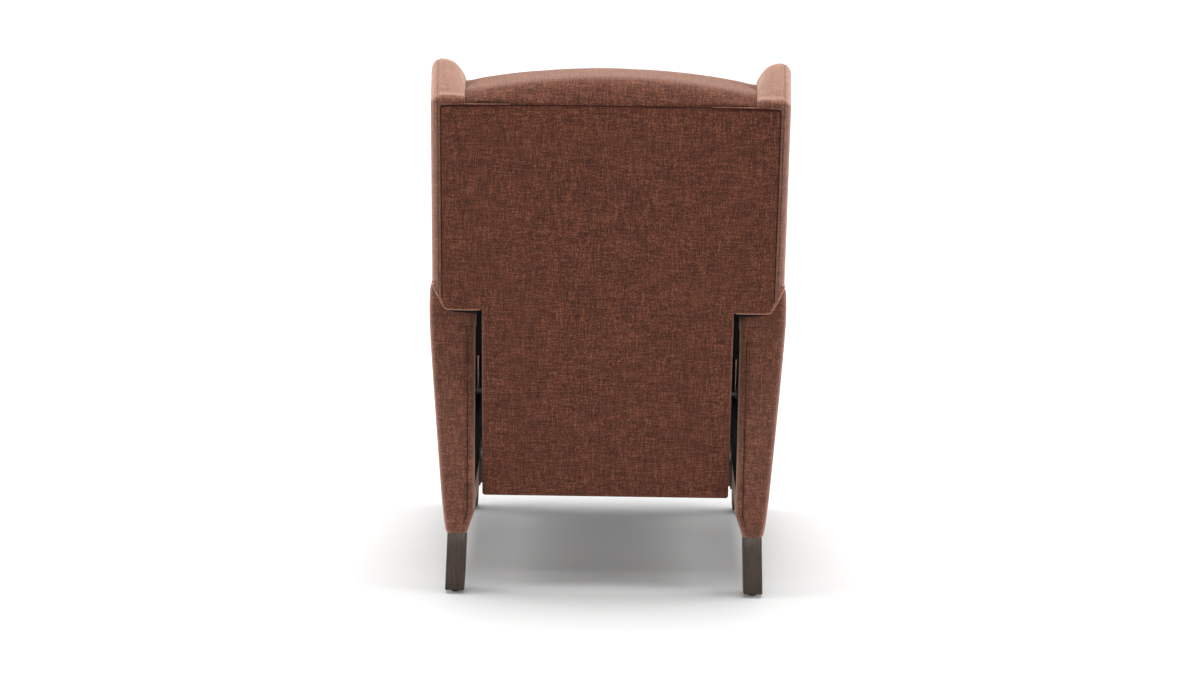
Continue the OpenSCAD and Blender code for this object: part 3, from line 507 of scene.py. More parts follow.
def makeSeat():
    look = seatLook
    y0, y1 = rearY - look.front, rearY - look.back
    half, low = look.half, look.low + look.less
    rings = []
    for s in closing(14):
        pull = look.draw * abs(s) ** 14
        top = look.high + look.crown * (1 - s * s) - pull - look.less
        a, b = (y1 - y0) / 2 - pull - look.less, (top - low) / 2
        rings.append(boxRing(s * (half - look.less), (y0 + y1) / 2, low + b, a, b, look.square))
    seat = loftPiece("seatCushionPad", rings, clothInnerShade)

    def seams(p, n):
        for level in look.seams:
            p = sinkSeam(p, n, 2, level, look.seamDepth)
        return p

    puff(seat, look.cap, within((-half - 0.6, y0 - 6, look.low + 0.3),
                                (half + 0.6, y1, look.high + look.crown + look.proud)))
    reshape(seat, seams)
    assign(seat, "seat", "seat_cushion")


makeSeat()
print("seat cushion made")

footLook = Look(
    half=256.0, back=652.3, front=700.0, low=190.0, high=378.0, less=3.0, cap=8.0,
    draw=8.0, seamIn=13.0, seamDepth=2.0, square=(5, 8))


def makeFootrest():
    look = footLook
    y0, y1 = rearY - look.front, rearY - look.back
    half, low, high = look.half, look.low, look.high
    rings = []
    for s in closing(14):
        pull = look.draw * abs(s) ** 14
        a, b = (y1 - y0 - pull) / 2 - look.less, (high - low) / 2 - pull - look.less
        rings.append(boxRing(s * (half - look.less), (y0 + pull + y1) / 2, (low + high) / 2, a, b, look.square))
    pad = loftPiece("footrestPad", rings, clothInnerShade)
    puff(pad, look.cap, within((-half - 0.4, y0 - 7, low - 1), (half + 0.4, y1, high + 1.5)))
    reshape(pad, lambda p, n: sinkSeam(p, n, 1, y0 + look.seamIn, look.seamDepth))
    assign(pad, "footrest", "footrest_cushion")


makeFootrest()
print("footrest made")


# Places in the back's own frame: x, depth forward from the rear face (as -y), height above the shelf
backLook = Look(
    padLow=-117.0, rollLow=296.0, postFront=55.0, pad=102.0, wingIn=275.5, lowHalf=257.0,
    stepRun=16.0, endRound=12.0, crown=14.0, less=4.0, cap=26.0, proud=12.0, square=(11, 6),
    channel=0.54, channelDepth=14.0, channelWide=13.0, stitchDepth=4.0, stitchWide=3.0,
    channelEnd=235.0, channelFade=30.0, lean=6.0, leanDepth=205.0, leanHalf=276.0)


def splayed(y):
    # How much wider it is between the wings at a depth, since they lean out to the front
    return 1 + backLook.lean * np.maximum(0, -y) / (backLook.leanDepth * backLook.leanHalf)


def makeInsideBack():
    look = backLook
    top, rear = look.rollLow - 0.3, -look.postFront - 0.3
    rings = []
    for s in closing(20):
        s = 0.5 + 0.5 * s  # now from 0 at the foot to 1 at the top
        z = look.padLow + (top - look.padLow) * s
        wide = min(1, max(0, (z - stepZ) / look.stepRun))
        end = abs(2 * s - 1) ** 16 * look.endRound
        half = look.lowHalf * (1 - wide) + look.wingIn * wide - end - look.less
        deep = (look.pad - end) / 2 - look.less
        crown = look.crown * math.sin(math.pi * min(1, s * 1.8))
        ring = []
        for t in roundTurn(56):
            c, d = math.cos(t), math.sin(t)
            bow = crown * (1 - c * c) * abs(d) if d < 0 else 0
            y = rear - look.less - deep * (1 - soften(d, look.square[1])) - bow
            ring.append((half * soften(c, look.square[0]) * (1 + wide * (splayed(y) - 1)), y,
                         z + look.less * (1 - 2 * s)))
        rings.append(ring)
    pad = loftPiece("insideBackPad", rings, clothInnerShade, backPlace)

    def keep(p):
        wide = np.clip((p[:, 2] - stepZ) / look.stepRun, 0, 1)
        half = look.lowHalf * (1 - wide) + look.wingIn * wide * splayed(p[:, 1])
        p[:, 0] = np.clip(p[:, 0], -half, half)
        p[:, 1] = np.clip(p[:, 1], rear - look.pad - look.crown - look.proud, rear)
        p[:, 2] = np.clip(p[:, 2], look.padLow, top)
        return p

    line = look.padLow + (top - look.padLow) * look.channel

    def channel(p, n):
        front = np.clip(-n[:, 1] * 1.6, 0, 1)
        side = 1 - np.clip((np.abs(p[:, 0]) - look.channelEnd) / look.channelFade, 0, 1)
        away = p[:, 2] - line
        groove = look.channelDepth * np.exp(-(away / look.channelWide) ** 2)
        groove += look.stitchDepth * np.exp(-(away / look.stitchWide) ** 2)
        p[:, 1] += groove * front * (0.35 + 0.65 * side)
        return p

    puff(pad, look.cap, keep)
    reshape(pad, channel)
    assign(pad, "back", "inside_back")


makeInsideBack()
print("inside back made")

rollLook = Look(
    half=275.5, rise=52.0, drop=27.0, slope=7.0, low=296.0, depth=157.0, less=3.0,
    cap=22.0, flat=15.0, draw=3.0, rear=55.3, seat=414.3, heel=14.3, chin=26.5,
    brow=44.9, crest=44.0, bow=12.0, press=2.4, crestFall=0.07, crestSoft=2.0,
    tuck=(190, 210, 230, 250, 266, 275.6), tuckPlace=(-3.4, 416.6), tuckRadius=2.3)


def rollOutline(top, pull):
    look = rollLook
    front, rear, low, seat = look.depth, look.rear, look.low, look.seat
    heel, chin, brow, crest = look.heel, look.chin, look.brow, look.crest
    fore = top - look.slope
    points = [(-rear, seat), (-rear, low + heel)]
    points += arcPoints(-rear - heel, low + heel, heel, -10, -90, 4)
    points += arcPoints(-front + chin - pull, low + chin, chin, 270, 180, 6)
    points += [(-front - look.bow * math.sin(math.pi * i / 6) + pull, low + chin + (fore - low - chin - brow) * i / 6)
               for i in range(1, 6)]
    points += arcPoints(-front + brow + 8 - pull, fore - brow, brow, 180, 90, 9)
    points += arcPoints(-crest, top - crest, crest, 90, 8, 9)
    points += [(-pull / 2, seat + 5), (-pull, seat)]
    return points


def makeRoll():
    look = rollLook
    rings = []
    for s in closing(15):
        pull = look.draw * abs(s) ** 14
        outline = rollOutline(414 + look.rise - look.drop * s * s - pull, pull)
        cy = sum(p[0] for p in outline) / len(outline)
        cz = sum(p[1] for p in outline) / len(outline)
        ring = []
        for y, z in outline:
            away = Vector((y - cy, z - cz))
            away = away * (1 - look.less / max(away.length, 1))
            ring.append((s * (look.half - 1) * splayed(cy + away.x), cy + away.x, cz + away.y))
        rings.append(ring)
    roll = loftPiece("headRollPad", rings, clothInnerShade, backPlace)

    def keep(p):  # in front of the top rail or on it, and under a crest that falls to the ends and the front
        wide = look.half * splayed(p[:, 1])
        p[:, 0] = np.clip(p[:, 0], -wide, wide)
        p[:, 1] = np.clip(p[:, 1], -look.depth - 20, -0.5)
        p[:, 2] = np.maximum(p[:, 2], look.low + 0.3)
        inRail = (p[:, 2] < look.seat) & (p[:, 1] > -look.rear)
        nearer = inRail & (look.seat - p[:, 2] < p[:, 1] + look.rear)
        p[nearer, 2] = look.seat
        p[inRail & ~nearer, 1] = -look.rear
        crest = 413 + look.rise - (look.drop + 4) * (p[:, 0] / look.half) ** 2
        crest -= look.crestFall * np.clip(-p[:, 1] - 40, 0, 80)
        p[:, 2] = crest - look.crestSoft * np.logaddexp(0, (crest - p[:, 2]) / look.crestSoft)
        return p

    def pressed(p, n):  # the ends are pressed flat against the wings
        limit = (look.half - 0.2) * splayed(p[:, 1])
        start = limit - look.flat
        out = np.abs(p[:, 0])
        out = np.where(out > start, np.minimum(limit, start + (out - start) * look.press), out)
        p[:, 0] = np.sign(p[:, 0]) * out
        return p

    puff(roll, look.cap, keep)
    reshape(roll, pressed)
    assign(roll, "back", "head_roll")


def makeRollTuck(side, sign):
    # The tucked edge of the roll's cover, between its end and the wing
    tuck = tubeAlong("rollTuck" + side, [(sign * x, *rollLook.tuckPlace) for x in rollLook.tuck],
                     rollLook.tuckRadius, clothInnerShade, backPlace)
    assign(tuck, "back")


makeRoll()
bothSides(makeRollTuck)
print("head roll made")

wingLook = Look(
    inner=276.0, thick=64.0, depth=205.0, rise=460.0, rearRise=434.0, frontCorner=60.0,
    rearCorner=14.0, stepY=42.0, toe=14.0, cutWide=24.0, cutHigh=46.0, seam=0.79,
    seamDepth=1.8, splay=9.0, panelTop=414.6, recess=4.2, panelSide=0.705, frontBow=2.5,
    topBow=1.5, brink=1.5, spacing=12.0, swell=0.8, swellReach=30.0,
    # across the wing: share of its width, then how far its top, its rear and its front are rounded off
    round=[(0.0, 53, 1, 24), (0.03, 43, 0.6, 17), (0.08, 33.5, 0.3, 11), (0.16, 22, 0, 6),
           (0.25, 13, 0, 3), (0.34, 7.6, 0, 1.2), (0.44, 3.6, 0, 0.4), (0.54, 1.2, 0, 0),
           (0.64, 0.2, 0, 0), (0.7, 0, 0, 0), (0.712, 0, 1.2, 0), (0.728, 0, 0.1, 0), (0.76, 0.6, 0.3, 0.3),
           (0.79, 1.2, 0.6, 0.6), (0.82, 2, 1, 1), (0.88, 4.8, 3.2, 3.4), (0.94, 9.5, 7, 7.4),
           (0.98, 15, 12, 12.5), (1.0, 21.5, 18, 19)])


def wingOutline():
    look = wingLook
    depth, foot, fore, rear, toe = look.depth, look.stepY, look.frontCorner, look.rearCorner, look.toe
    slopeZ = stepZ - (depth - foot) * math.tan(tilt)
    toeZ = slopeZ + 1.9 * toe
    points = [(-foot, stepZ), (-85, stepZ - 6), (-(foot + depth) / 2, (stepZ + slopeZ) / 2 - 1)]
    points += arcPoints(-depth + toe, toeZ, toe, 270, 180, 6)
    reach = look.rise - fore - toeZ
    points += [(-depth - look.frontBow * math.sin(math.pi * i / 12), toeZ + reach * i / 12) for i in range(1, 12)]
    points += arcPoints(-depth + fore, look.rise - fore, fore, 180, 90, 12)
    run, fall = depth - fore - rear, look.rise - look.rearRise
    points += [(-rear - run * (1 - i / 10),
                look.rearRise + fall * (1 - i / 10) + look.topBow * math.sin(math.pi * i / 10)) for i in range(1, 10)]
    points += arcPoints(-rear, look.rearRise - rear, rear, 90 + math.degrees(math.atan2(fall, run)), 0, 8)
    points += [(0, look.panelTop + 2.6), (0, look.panelTop)]
    points += [(0, look.panelTop * (1 - i / 16)) for i in range(1, 16)]
    return points + [(0, 3), (-3, 0), (-foot + 4, 0), (-foot, 4), (-foot, stepZ / 2)]


def makeWing(side, sign):
    look = wingLook
    outline = wingOutline()
    count = len(outline)
    normals = []
    for i, (y, z) in enumerate(outline):
        a, b = outline[i - 1], outline[(i + 1) % count]
        n = Vector((b[1] - a[1], -(b[0] - a[0]))).normalized()
        normals.append(-n if (n.x * (y + 100) + n.y * (z - 270)) < 0 else n)
    rings = []
    for share, topIn, rearIn, frontIn in look.round:
        x = look.inner + look.thick * share
        dip = look.seamDepth if abs(share - look.seam) < 0.001 else 0
        ring = []
        for (y, z), n in zip(outline, normals):
            if -look.stepY - 0.5 < y < -1 and z < stepZ + 0.5:  # the notch over the arm
                amount = 0
            elif z < stepZ - 1 and n.y < -0.3:  # the underside
                amount = frontIn * 0.8
            else:
                fore = min(1, max(0, -y) / (look.depth - look.frontCorner)) ** 1.3 if share < 0.7 else 1
                brink = look.brink * max(0, 1 - share / 0.1) ** 2
                amount = (topIn * fore + brink * (1 - fore)) * max(0, n.y) ** 2
                amount += rearIn * max(0, n.x) ** 2 + frontIn * max(0, -n.x) ** 2 + dip
                if share < look.panelSide and y > -0.5 and z < look.panelTop + 0.1:
                    amount = look.recess  # room for the outside back
            ny, nz = y - n.x * amount, z - n.y * amount
            limit = look.inner + look.thick - look.cutWide * max(0, 1 - nz / look.cutHigh)
            out = look.splay * (0.65 + 0.35 * share) * max(0, -ny / look.depth)
            ring.append((sign * (min(x, limit if nz < look.cutHigh else x) + out), ny, nz))
        rings.append(ring)
    faces = loftFaces(len(rings), count, caps=False)
    faces.append(tuple(range(count)))
    spots, triangles, gap = fillLoop([(y, z) for _, y, z in rings[-1]], look.spacing, look.spacing / 2)
    points = [p for ring in rings for p in ring]
    faces += [tuple(len(points) + i for i in t) for t in triangles]
    for (y, z), away in zip(spots, gap):  # the outer face, softly swollen
        x = look.inner + look.thick - look.cutWide * max(0, 1 - z / look.cutHigh)
        proud = look.swell * (1 - math.exp(-away / look.swellReach))
        points.append((sign * (x + look.splay * max(0, -y / look.depth) + proud), y, z))
    wing = addPiece("wing" + side, points, faces, clothOuter, backPlace, 50)
    assign(wing, "back", "wing_cover_" + side.lower())


bothSides(makeWing)
print("wings made")

panelLook = Look(
    narrow=244.0, low=-396.0, wide=321.0, high=413.4, front=8.0, edge=4.5, bulge=3.2,
    bulgeReach=45.0, arch=3.5, corner=8.0, footCorner=6.0, spacing=9.0, edgeSteps=5)


def panelLoop():
    # Counter-clockwise from the foot's right corner, as seen from the front
    look = panelLook
    n, w, c, f, high = look.narrow, look.wide, look.corner, look.footCorner, look.high
    half = [(x, z) for x, z in arcPoints(n - f, look.low + f, f, -90, 0, 5)]
    half += [(n, z) for z in np.linspace(look.low + 30, -12, 24)]
    half += [(n, -4), (n + 1.2, -1.2), (n + 4, 0)]
    half += [(x, 0) for x in np.linspace(n + 14, w - c - 4, 6)]
    half += [(w - c, 0.8), (w - c + 2.4, 4), (w - 1, 17), (w, 24)]
    half += [(w, z) for z in np.linspace(40, high - 10, 26)] + [(w - 0.6, high - 2.5), (w - 3, high)]
    arch = [(x, high + look.arch * (1 - (x / w) ** 2)) for x in np.linspace(w - 18, -w + 18, 41)]
    foot = [(x, look.low) for x in np.linspace(-n + 20, n - 20, 31)]
    return half + arch + [(-x, z) for x, z in reversed(half)] + foot


def makeOutsideBack():
    # A flat closed panel with a rounded rear edge and a softly swollen rear face
    look = panelLook
    loop, edge = panelLoop(), look.edge
    rings = [[(x, -look.front, z) for x, z in loop]]
    for k in range(look.edgeSteps + 1):
        turn = math.pi / 2 * k / look.edgeSteps
        rings.append([(x, -edge * (1 - math.sin(turn)), z) for x, z in offsetLoop(loop, edge * (1 - math.cos(turn)))])
    spots, triangles, gap = fillLoop(offsetLoop(loop, edge), look.spacing, look.spacing * 0.45)
    proud = look.bulge * (1 - np.exp(-gap / look.bulgeReach))
    start = len(rings) * len(loop)
    points = [p for ring in rings for p in ring] + [(x, y, z) for (x, z), y in zip(spots, proud)]
    faces = loftFaces(len(rings), len(loop), caps=False)
    faces.append(tuple(range(len(loop))))
    faces += [tuple(start + i for i in t) for t in triangles]
    panel = addPiece("outsideBack", points, faces, clothPanelShade, backPlace)
    assign(panel, "back", "outside_back")


makeOutsideBack()

seamLook = Look(
    levels=(22, 120, 220, 320, 408), top=415.2, arch=3.2, topFrom=414.0, sunk=-1.6,
    topSunk=-0.2, radius=1.15)


def makePanelSeam():
    # A near-black cord sunk in the seam round the sides and the top of the outside back: painted shade for the shadow
    # in the seam
    look = seamLook
    side = panelLook.wide + 0.8
    path = [(side, z) for z in look.levels] + [(side - 1, 412.5), (side - 4, 414.4)]
    path += [(x, look.top + look.arch * (1 - (x / side) ** 2)) for x in np.linspace(side - 14, 0, 12)]
    path += [(-x, z) for x, z in reversed(path[:-1])]
    points = [(x, look.topSunk if z > look.topFrom else look.sunk, z) for x, z in path]
    assign(tubeAlong("panelSeam", points, look.radius, seamThread, backPlace, 8), "back")


makePanelSeam()

sleeveLook = Look(
    outer=243.8, thick=2.6, start=8.2, deep=54.0, low=-395.6, corner=7.0,
    # height and depth down its side; it is narrower beside the steel brackets
    steps=[(-1.0, 54), (-60, 54), (-86, 54), (-94, 28), (-180, 28), (-276, 28), (-284, 54), (-340, 54)])


def makeSleeve():
    # The cloth that wraps the sides and the foot of the narrow part
    look = sleeveLook
    corner, thick, low = look.corner, look.thick, look.low
    path = [(look.outer, z, deep) for z, deep in look.steps]
    path += [(x, z, look.deep) for x, z in arcPoints(look.outer - corner, low + corner, corner, 0, -90, 6)]
    other = [(-x, z, deep) for x, z, deep in reversed(path)]
    path += [(x, low, look.deep) for x in (160, 0, -160)] + other
    inner = [(x - math.copysign(thick, x) if abs(x) > 230 else x, z + (thick if z < low + 6 else 0))
             for x, z, _ in path]
    rings = [[(x, -look.start, z), (x, -deep + 1, z), (x, -deep, z), (a, -deep, b), (a, -look.start, b)]
             for (x, z, deep), (a, b) in zip(path, inner)]
    assign(loftPiece("backSleeve", rings, clothOuter, backPlace, 40), "back")


makeSleeve()

# Thin cloth on the back: profiles of x and depth, and the heights between which each one runs
backCloth = {
    # The first is a near-black sheet, painted shade in the dark gap beside the narrow part
    "backLining": Look(  # behind the inside back, beside the narrow part
        profile=[(245.2, 54.3), (256.7, 54.3), (256.7, 55.1), (245.2, 55.1)], run=(-118, -0.5, 2),
        cloth=shadeLiningFabric, slot="deck_cloth"),
    "lowShoulder": Look(  # round the arm's rear corner
        profile=[(241, 54.3), (256.6, 54.3), (256.6, 42.4), (275.6, 42.4), (275.6, 43.2), (257.4, 43.2),
                 (257.4, 55.1), (241, 55.1)],
        run=(-0.4, 53.0, 5), cloth=clothInnerShade, slot="inner_fabric"),
    "highShoulder": Look(  # over the arm
        profile=[(241, 54.3), (274.8, 54.3), (274.8, 42.2), (275.6, 42.2), (275.6, 55.1), (241, 55.1)],
        run=(53.0, 96.0, 5), cloth=clothInnerShade, slot="inner_fabric")}


def makeBackCloth(side, sign, name):
    look = backCloth[name]
    rings = [[(sign * x, -y, z) for x, y in look.profile] for z in np.linspace(*look.run)]
    cloth = loftPiece(name + side, rings, look.cloth, backPlace, 30)
    assign(cloth, "back")


for name in backCloth:
    bothSides(makeBackCloth, name)

apronLook = Look(
    thick=2.0, profile=[(-146, -101, 252), (-149, -108, 252), (-147, -120, 252), (-141, -134, 252),
                           (-135, -148, 252), (-133, -154, 194), (-129, -176, 194), (-126, -200, 194)])


def makeApron():
    # The cloth that runs on down from the inside back, behind the seat cushion: depth, height and half width
    rings = []
    for y, z, half in apronLook.profile:
        xs = np.linspace(-half, half, 17)
        rings.append([(x, y, z) for x in xs] + [(x, y + apronLook.thick, z + 0.6) for x in reversed(xs)])
    assign(loftPiece("backApron", rings, clothInnerShade, backPlace, 50), "back")


makeApron()

shelfLook = Look(
    welt=[(338.6, 60), (337.2, 52), (334.6, 44), (327, 27), (320.4, 13.4), (316.8, 6.2), (314.6, 3.2),
          (311.6, 1.6), (306, 1.2), (290, 1.0), (270, 1.0), (254, 1.2), (248.5, 1.8)],
    weltDepth=4.2, weltRadius=3.0,
    # places across the near-black strip of painted shade, and how far it hangs there
    hang=[(249, 10), (262, 9.6), (280, 8.8), (296, 7.4), (306, 5.4), (313, 3.2)],
    liningTop=-1.5, liningRear=-8.6, liningFront=-9.4)


def makeShelfWelt(side, sign):
    # The rolled edge under the wide part, from the foot of the wing to the narrow part, in a much lighter copy of the
    # cloth: a painted highlight
    path = [(sign * x, -shelfLook.weltDepth, z) for x, z in shelfLook.welt]
    welt = tubeAlong("shelfWelt" + side, path, shelfLook.weltRadius, clothEdgeHighlight, backPlace)
    assign(welt, "back")


def makeShelfShadeLining(side, sign):
    # A near-black strip under the edge of the wide part: painted shade, for the shadow that the wide part casts on the
    # arm
    top, rear, front = shelfLook.liningTop, shelfLook.liningRear, shelfLook.liningFront
    rings = [[(sign * x, y, z) for y, z in ((rear, top), (rear, -hang), (front, -hang), (front, top))]
             for x, hang in shelfLook.hang]
    lining = loftPiece("shelfLining" + side, rings, shadeLiningFabric, backPlace, 30)
    assign(lining, "back")


bothSides(makeShelfWelt)
bothSides(makeShelfShadeLining)
print("outside back made")

armLook = Look(
    length=680.0, bottom=126.0, top=648.0, planCorner=12.0, topCorner=16.0, swell=2.8,
    swellTop=626.0, seamIn=14.0, seamWide=1.6, seamLevel=555.0, seamDepth=1.7, belt=0.8,
    levels=[126, 127, 130, 136, 146, 158, 166, 168.4, 169.6, 173, 190, 215, 245, 278, 315, 355, 395, 435, 470,
            500, 525, 540, 551, 553.4, 555, 556.6, 559, 575, 590, 604, 616, 623, 629, 634, 638, 641.5, 644.2,
            646.2, 647.5, 648],
    outer=[(126, 313.5), (128, 315), (140, 317.6), (156, 319.6), (180, 322), (220, 325.6), (300, 331.6),
           (400, 338.8), (480, 344.2), (530, 347.2), (562, 348.6), (592, 348.8), (616, 347.8)],
    outerTop=(314.6, 33.2, 32.0),  # centre, width and height of the round over the last of those levels
    innerTop=(628.0, 278.5, 20.0),  # level, centre and radius of the round at the top of the inner face
    innerFoot=(169.0, 43.0, 14.5),  # where the inner face starts to lean out, how high, and how far
    threads=(150, 169, 240, 320, 400, 480, 530), threadRadius=0.6,
    lining=[(13, 222), (600, 222), (600, 372), (150, 372), (92, 470), (86, 540), (13, 540)],
    liningAt=(258.15, 258.9))


def armOuter(z):
    levels = armLook.outer
    start = levels[-1][0]
    if z > start:
        centre, wide, high = armLook.outerTop
        return centre + wide * math.sqrt(max(0, 1 - ((z - start) / high) ** 2))
    return float(np.interp(z, *zip(*levels)))


def armInner(z):
    start, centre, radius = armLook.innerTop
    if z > start:
        return centre - radius * math.sqrt(max(0, 1 - ((z - start) / radius) ** 2))
    foot, high, out = armLook.innerFoot
    return chair.armIn + out * max(0, foot - z) / high


def makeArm(side, sign):
    look = armLook
    seam, corner, bottom = look.seamLevel, look.topCorner, look.bottom
    rings = []
    for z in look.levels:
        x0, x1 = armInner(z), armOuter(z)
        rounding = corner - math.sqrt(corner ** 2 - max(0, z - look.top + corner) ** 2) + max(0, bottom + 3 - z) * 0.6
        y0, y1 = rearY - look.length + rounding, rearY - rounding
        r = min(look.planCorner, (x1 - x0) * 0.3)
        belt = look.belt if abs(z - seam) < 0.5 else 0
        swelling = look.swell * math.sin(math.pi * min(1, max(0, (z - bottom) / 500))) if z < look.swellTop else 0
        ends = [x0 + look.seamIn + d for d in (-look.seamWide, 0, look.seamWide)]
        dips = [0, look.seamDepth if z < seam - 12 else 0, 0, 0, 0, 0, 0]  # the upright seam stops under the belt
        ends += [ends[-1] + (x1 - r - ends[-1]) * k / 5 for k in range(1, 5)]
        ring = [(x, y1 - dip - belt) for x, dip in zip(ends, dips)]  # rear face, from the inside out
        ring += [(px, py - belt) for px, py in arcPoints(x1 - r, y1 - r, r, 90, 0, 6)]
        ring += [(x1 + swelling * math.sin(math.pi * k / 24) ** 0.6, y1 - r - (y1 - y0 - 2 * r) * k / 24)
                 for k in range(1, 24)]
        ring += [(px, py + belt) for px, py in arcPoints(x1 - r, y0 + r, r, 0, -90, 6)]
        ring += [(x, y0 + dip + belt) for x, dip in reversed([*zip(ends, dips)])]
        ring += arcPoints(x0 + r, y0 + r, r, -90, -180, 6)
        ring += [(x0, y0 + r + (y1 - y0 - 2 * r) * k / 16) for k in range(1, 16)]
        ring += arcPoints(x0 + r, y1 - r, r, 180, 90, 6)
        rings.append([(sign * x, y, z) for x, y in ring[::sign]])
    arm = loftPiece("armCover" + side, rings, clothOuter, None, 50)
    assign(arm, "base", "arm_cover_" + side.lower())


def makeArmSeams(side, sign):
    # A near-black cord in the upright seams at the two ends of the arm: painted shade for the shadow in the seam
    look = armLook
    for end, y in (("Rear", rearY + 0.1), ("Front", rearY - look.length - 0.1)):
        path = [(sign * (armInner(z) + look.seamIn), y, z) for z in look.threads]
        seam = tubeAlong("armSeam" + end + side, path, look.threadRadius, seamThread, None, 6)
        assign(seam, "base")


def makeArmShadeLining(side, sign):
    # A near-black sheet on the inner face of the arm, beside the back and the steelwork: painted shade in the dark gap
    rings = [[(sign * x, rearY - w, z) for w, z in armLook.lining] for x in armLook.liningAt]
    assign(loftPiece("armLining" + side, rings, shadeLiningFabric, None, 30), "base")


for make in (makeArm, makeArmSeams, makeArmShadeLining):
    bothSides(make)

seatShadeLiningLook = Look(across=(246.0, 257.2), depth=(149.0, 149.9), heights=(388, 472))


def makeSeatShadeLining(side, sign):
    # A near-black sheet on the rear corner of the seat cushion: painted shade in the dark gap
    (x0, x1), (w0, w1) = seatShadeLiningLook.across, seatShadeLiningLook.depth
    rings = [[(sign * x, rearY - w, z) for x, w in ((x0, w0), (x1, w0), (x1, w1), (x0, w1))]
             for z in seatShadeLiningLook.heights]
    assign(loftPiece("seatLining" + side, rings, shadeLiningFabric, None, 30), "seat")


bothSides(makeSeatShadeLining)
print("arms made")

legLook = Look(
    wide=38.0, deep=50.0, splay=4.5, centre=292.75, top=126.0, glide=8.0, edge=2.4,
    places={"rear": 29.0, "front": 651.0},
    profile=[(126, 0.6), (125.2, 0), (96, 0), (66, 0), (36, 0), (9.2, 0), (8.3, 0.7), (8, 1.6)],
    glideProfile=[(0.05, 0.0), (6.2, 0.0), (8.2, 0.5), (9, 1.8), (9, 6.2), (8.4, 7.4), (7.6, 8.0), (0.05, 8.0)])


def makeLeg(side, sign, which, w):
    look = legLook
    rings = []
    for z, shrink in look.profile:  # height, and how far the eased ends draw in
        cx = look.centre + look.splay * (look.top - z) / (look.top - look.glide)
        a, b, e = look.wide / 2 - shrink, look.deep / 2 - shrink, look.edge
        ring = []
        for sx, sy, start in ((1, 1, 0), (-1, 1, 90), (-1, -1, 180), (1, -1, 270)):
            ring += arcPoints(sign * cx + sx * (a - e), rearY - w + sy * (b - e), e, start, start + 90, 4)
        rings.append([(px, py, z) for px, py in ring])
    leg = loftPiece(which + "Leg" + side, rings[::-1], stainedWood, None, 40)
    assign(leg, "base", which + "_leg_" + side.lower())


def makeGlides():
    look = legLook
    for number, (sign, w) in enumerate((s, p) for s in (1, -1) for p in look.places.values()):
        cx, cy = sign * (look.centre + look.splay), rearY - w
        rings = [[(cx + r * math.cos(t), cy + r * math.sin(t), z) for t in roundTurn(32)]
                 for r, z in look.glideProfile]
        glide = loftPiece("glide%d" % number, rings, glidePlastic, None, 40)
        assign(glide, "base", None if number else "leg_glides")


for which, w in legLook.places.items():
    bothSides(makeLeg, which, w)
makeGlides()
print("legs made")

# Finishes for the CAD nodes that stay, by the start of their names; the rest is black steel
finishes = [
    (railWood[0], ("base_rear_rail", "base_front_rail", "footrest_board")), (railWood[1], ("seat_side_rail",)),
    (boardWood[0], ("seat_rear_rail", "back_lower_rail", "back_middle_rail", "back_top_rail")),
    (boardWood[1], ("arm_frame",)), (boardWood[2], ("back_post", "wing_frame")), (clothPanelShade, ("seat_front_rail",)),
    (springSteel, ("seat_springs", "back_springs")), (deckFabric, ("seat_deck",)),
    (zincSteel, ("spring_clips", "leg_bolts", "base_bolts", "back_bolts"))]
for name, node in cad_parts.items():
    material = next((made for made, starts in finishes if name.startswith(starts)), blackSteel)
    if not node.data.materials:
        node.data.materials.append(material)
    for number in range(len(node.material_slots)):
        node.material_slots[number].material = material
print("CAD nodes finished")

stageLook = Look(reach=60000, cells=12, dark=(0.425, 0.425, 0.425), light=(0.445, 0.445, 0.445))


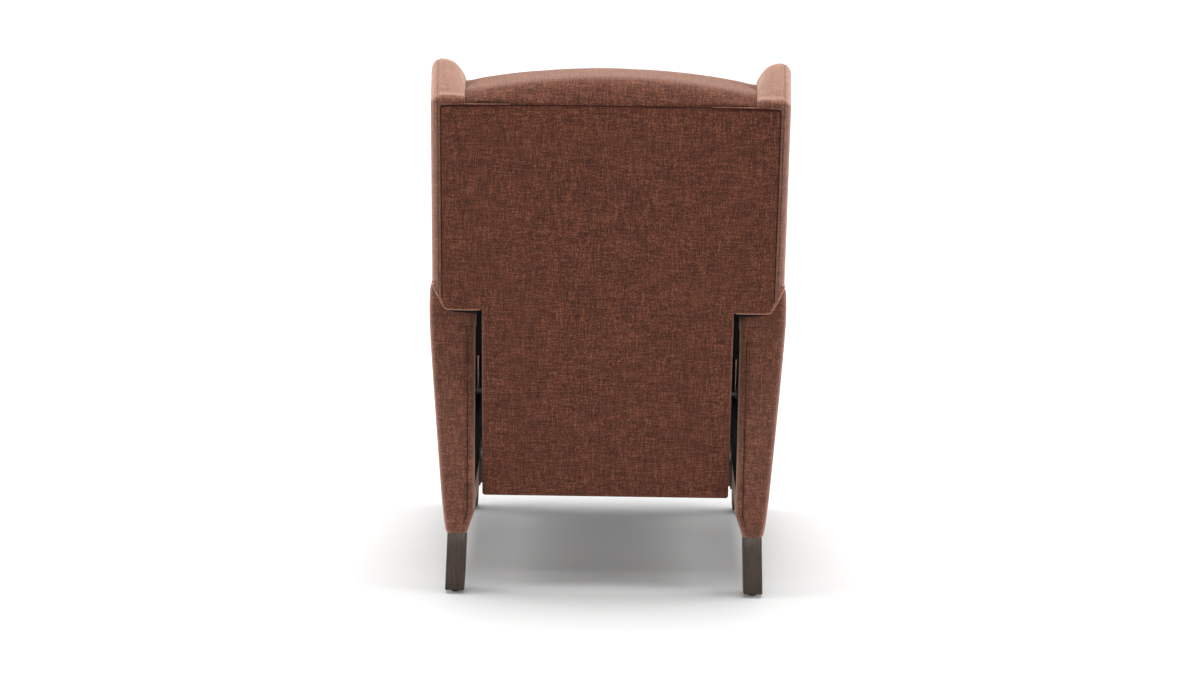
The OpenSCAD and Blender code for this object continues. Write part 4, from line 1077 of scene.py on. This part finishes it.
def makeStage():
    paint, cells = Paint("paleFloor"), stageLook.cells
    shade = paint.colour(paint.noise(0.7), stageLook.dark, stageLook.light)
    material = paint.finish(Base_Color=shade, Roughness=0.9, Specular_IOR_Level=0.0)
    steps = np.linspace(-stageLook.reach, stageLook.reach, cells + 1)
    points = [(x, y, 0) for x in steps for y in steps]
    corners = [i * (cells + 1) + j for i in range(cells) for j in range(cells)]
    addPiece("floor", points, [(k, k + cells + 1, k + cells + 2, k + 1) for k in corners], material)


lightLook = Look(
    sky=0.15,  # then the name, strength and size of each sun, its lean from upright, and where it stands
    suns=[("topLight", 5.2, 46.0, 0.0, 0.0), ("frontLight", 0.8, 40.0, 55.0, 0.0),
          ("rearLight", 1.35, 20.0, -68.0, 0.0), ("leftLight", 4.0, 50.0, 70.0, 91.0),
          ("rightLight", 4.0, 50.0, 70.0, -91.0)])


def makeLight():
    look = lightLook
    world = bpy.data.worlds.new("studio")
    scene.world = world
    world.use_nodes = True
    world.node_tree.nodes["Background"].inputs[0].default_value = (1, 1, 1, 1)
    world.node_tree.nodes["Background"].inputs[1].default_value = look.sky
    for name, strength, size, lean, turn in look.suns:
        sun = bpy.data.lights.new(name, "SUN")
        sun.energy, sun.angle = strength, math.radians(size)
        obj = bpy.data.objects.new(name, sun)
        obj.rotation_euler = (math.radians(lean), 0, math.radians(turn))
        scene.collection.objects.link(obj)


# The picture's camera: millimetres behind the arms and above the floor, degrees, and the shift in pixels
viewLook = Look(
    back=6000.0, high=1850.0, pitch=12.44, roll=0.85, lens=94.34, left=7.5, up=1.1,
    pictureWide=1200, sensor=36, clip=200)


def makeCamera():
    look = viewLook
    data = bpy.data.cameras.new("camera")
    data.lens, data.sensor_width, data.clip_end = look.lens, look.sensor, look.clip
    data.shift_x, data.shift_y = -look.left / look.pictureWide, look.up / look.pictureWide
    camera = bpy.data.objects.new("camera", data)
    turn = Matrix.Rotation(math.pi, 4, "Z") @ Matrix.Rotation(math.radians(90 - look.pitch), 4, "X")
    turn = turn @ Matrix.Rotation(math.radians(look.roll), 4, "Z")
    camera.matrix_world = Matrix.Translation(Vector((0, rearY + look.back, look.high)) * mm) @ turn
    scene.collection.objects.link(camera)
    scene.camera = camera


makeStage()
makeLight()
makeCamera()
scene.view_settings.view_transform = "Standard"
print("floor, light and camera made")
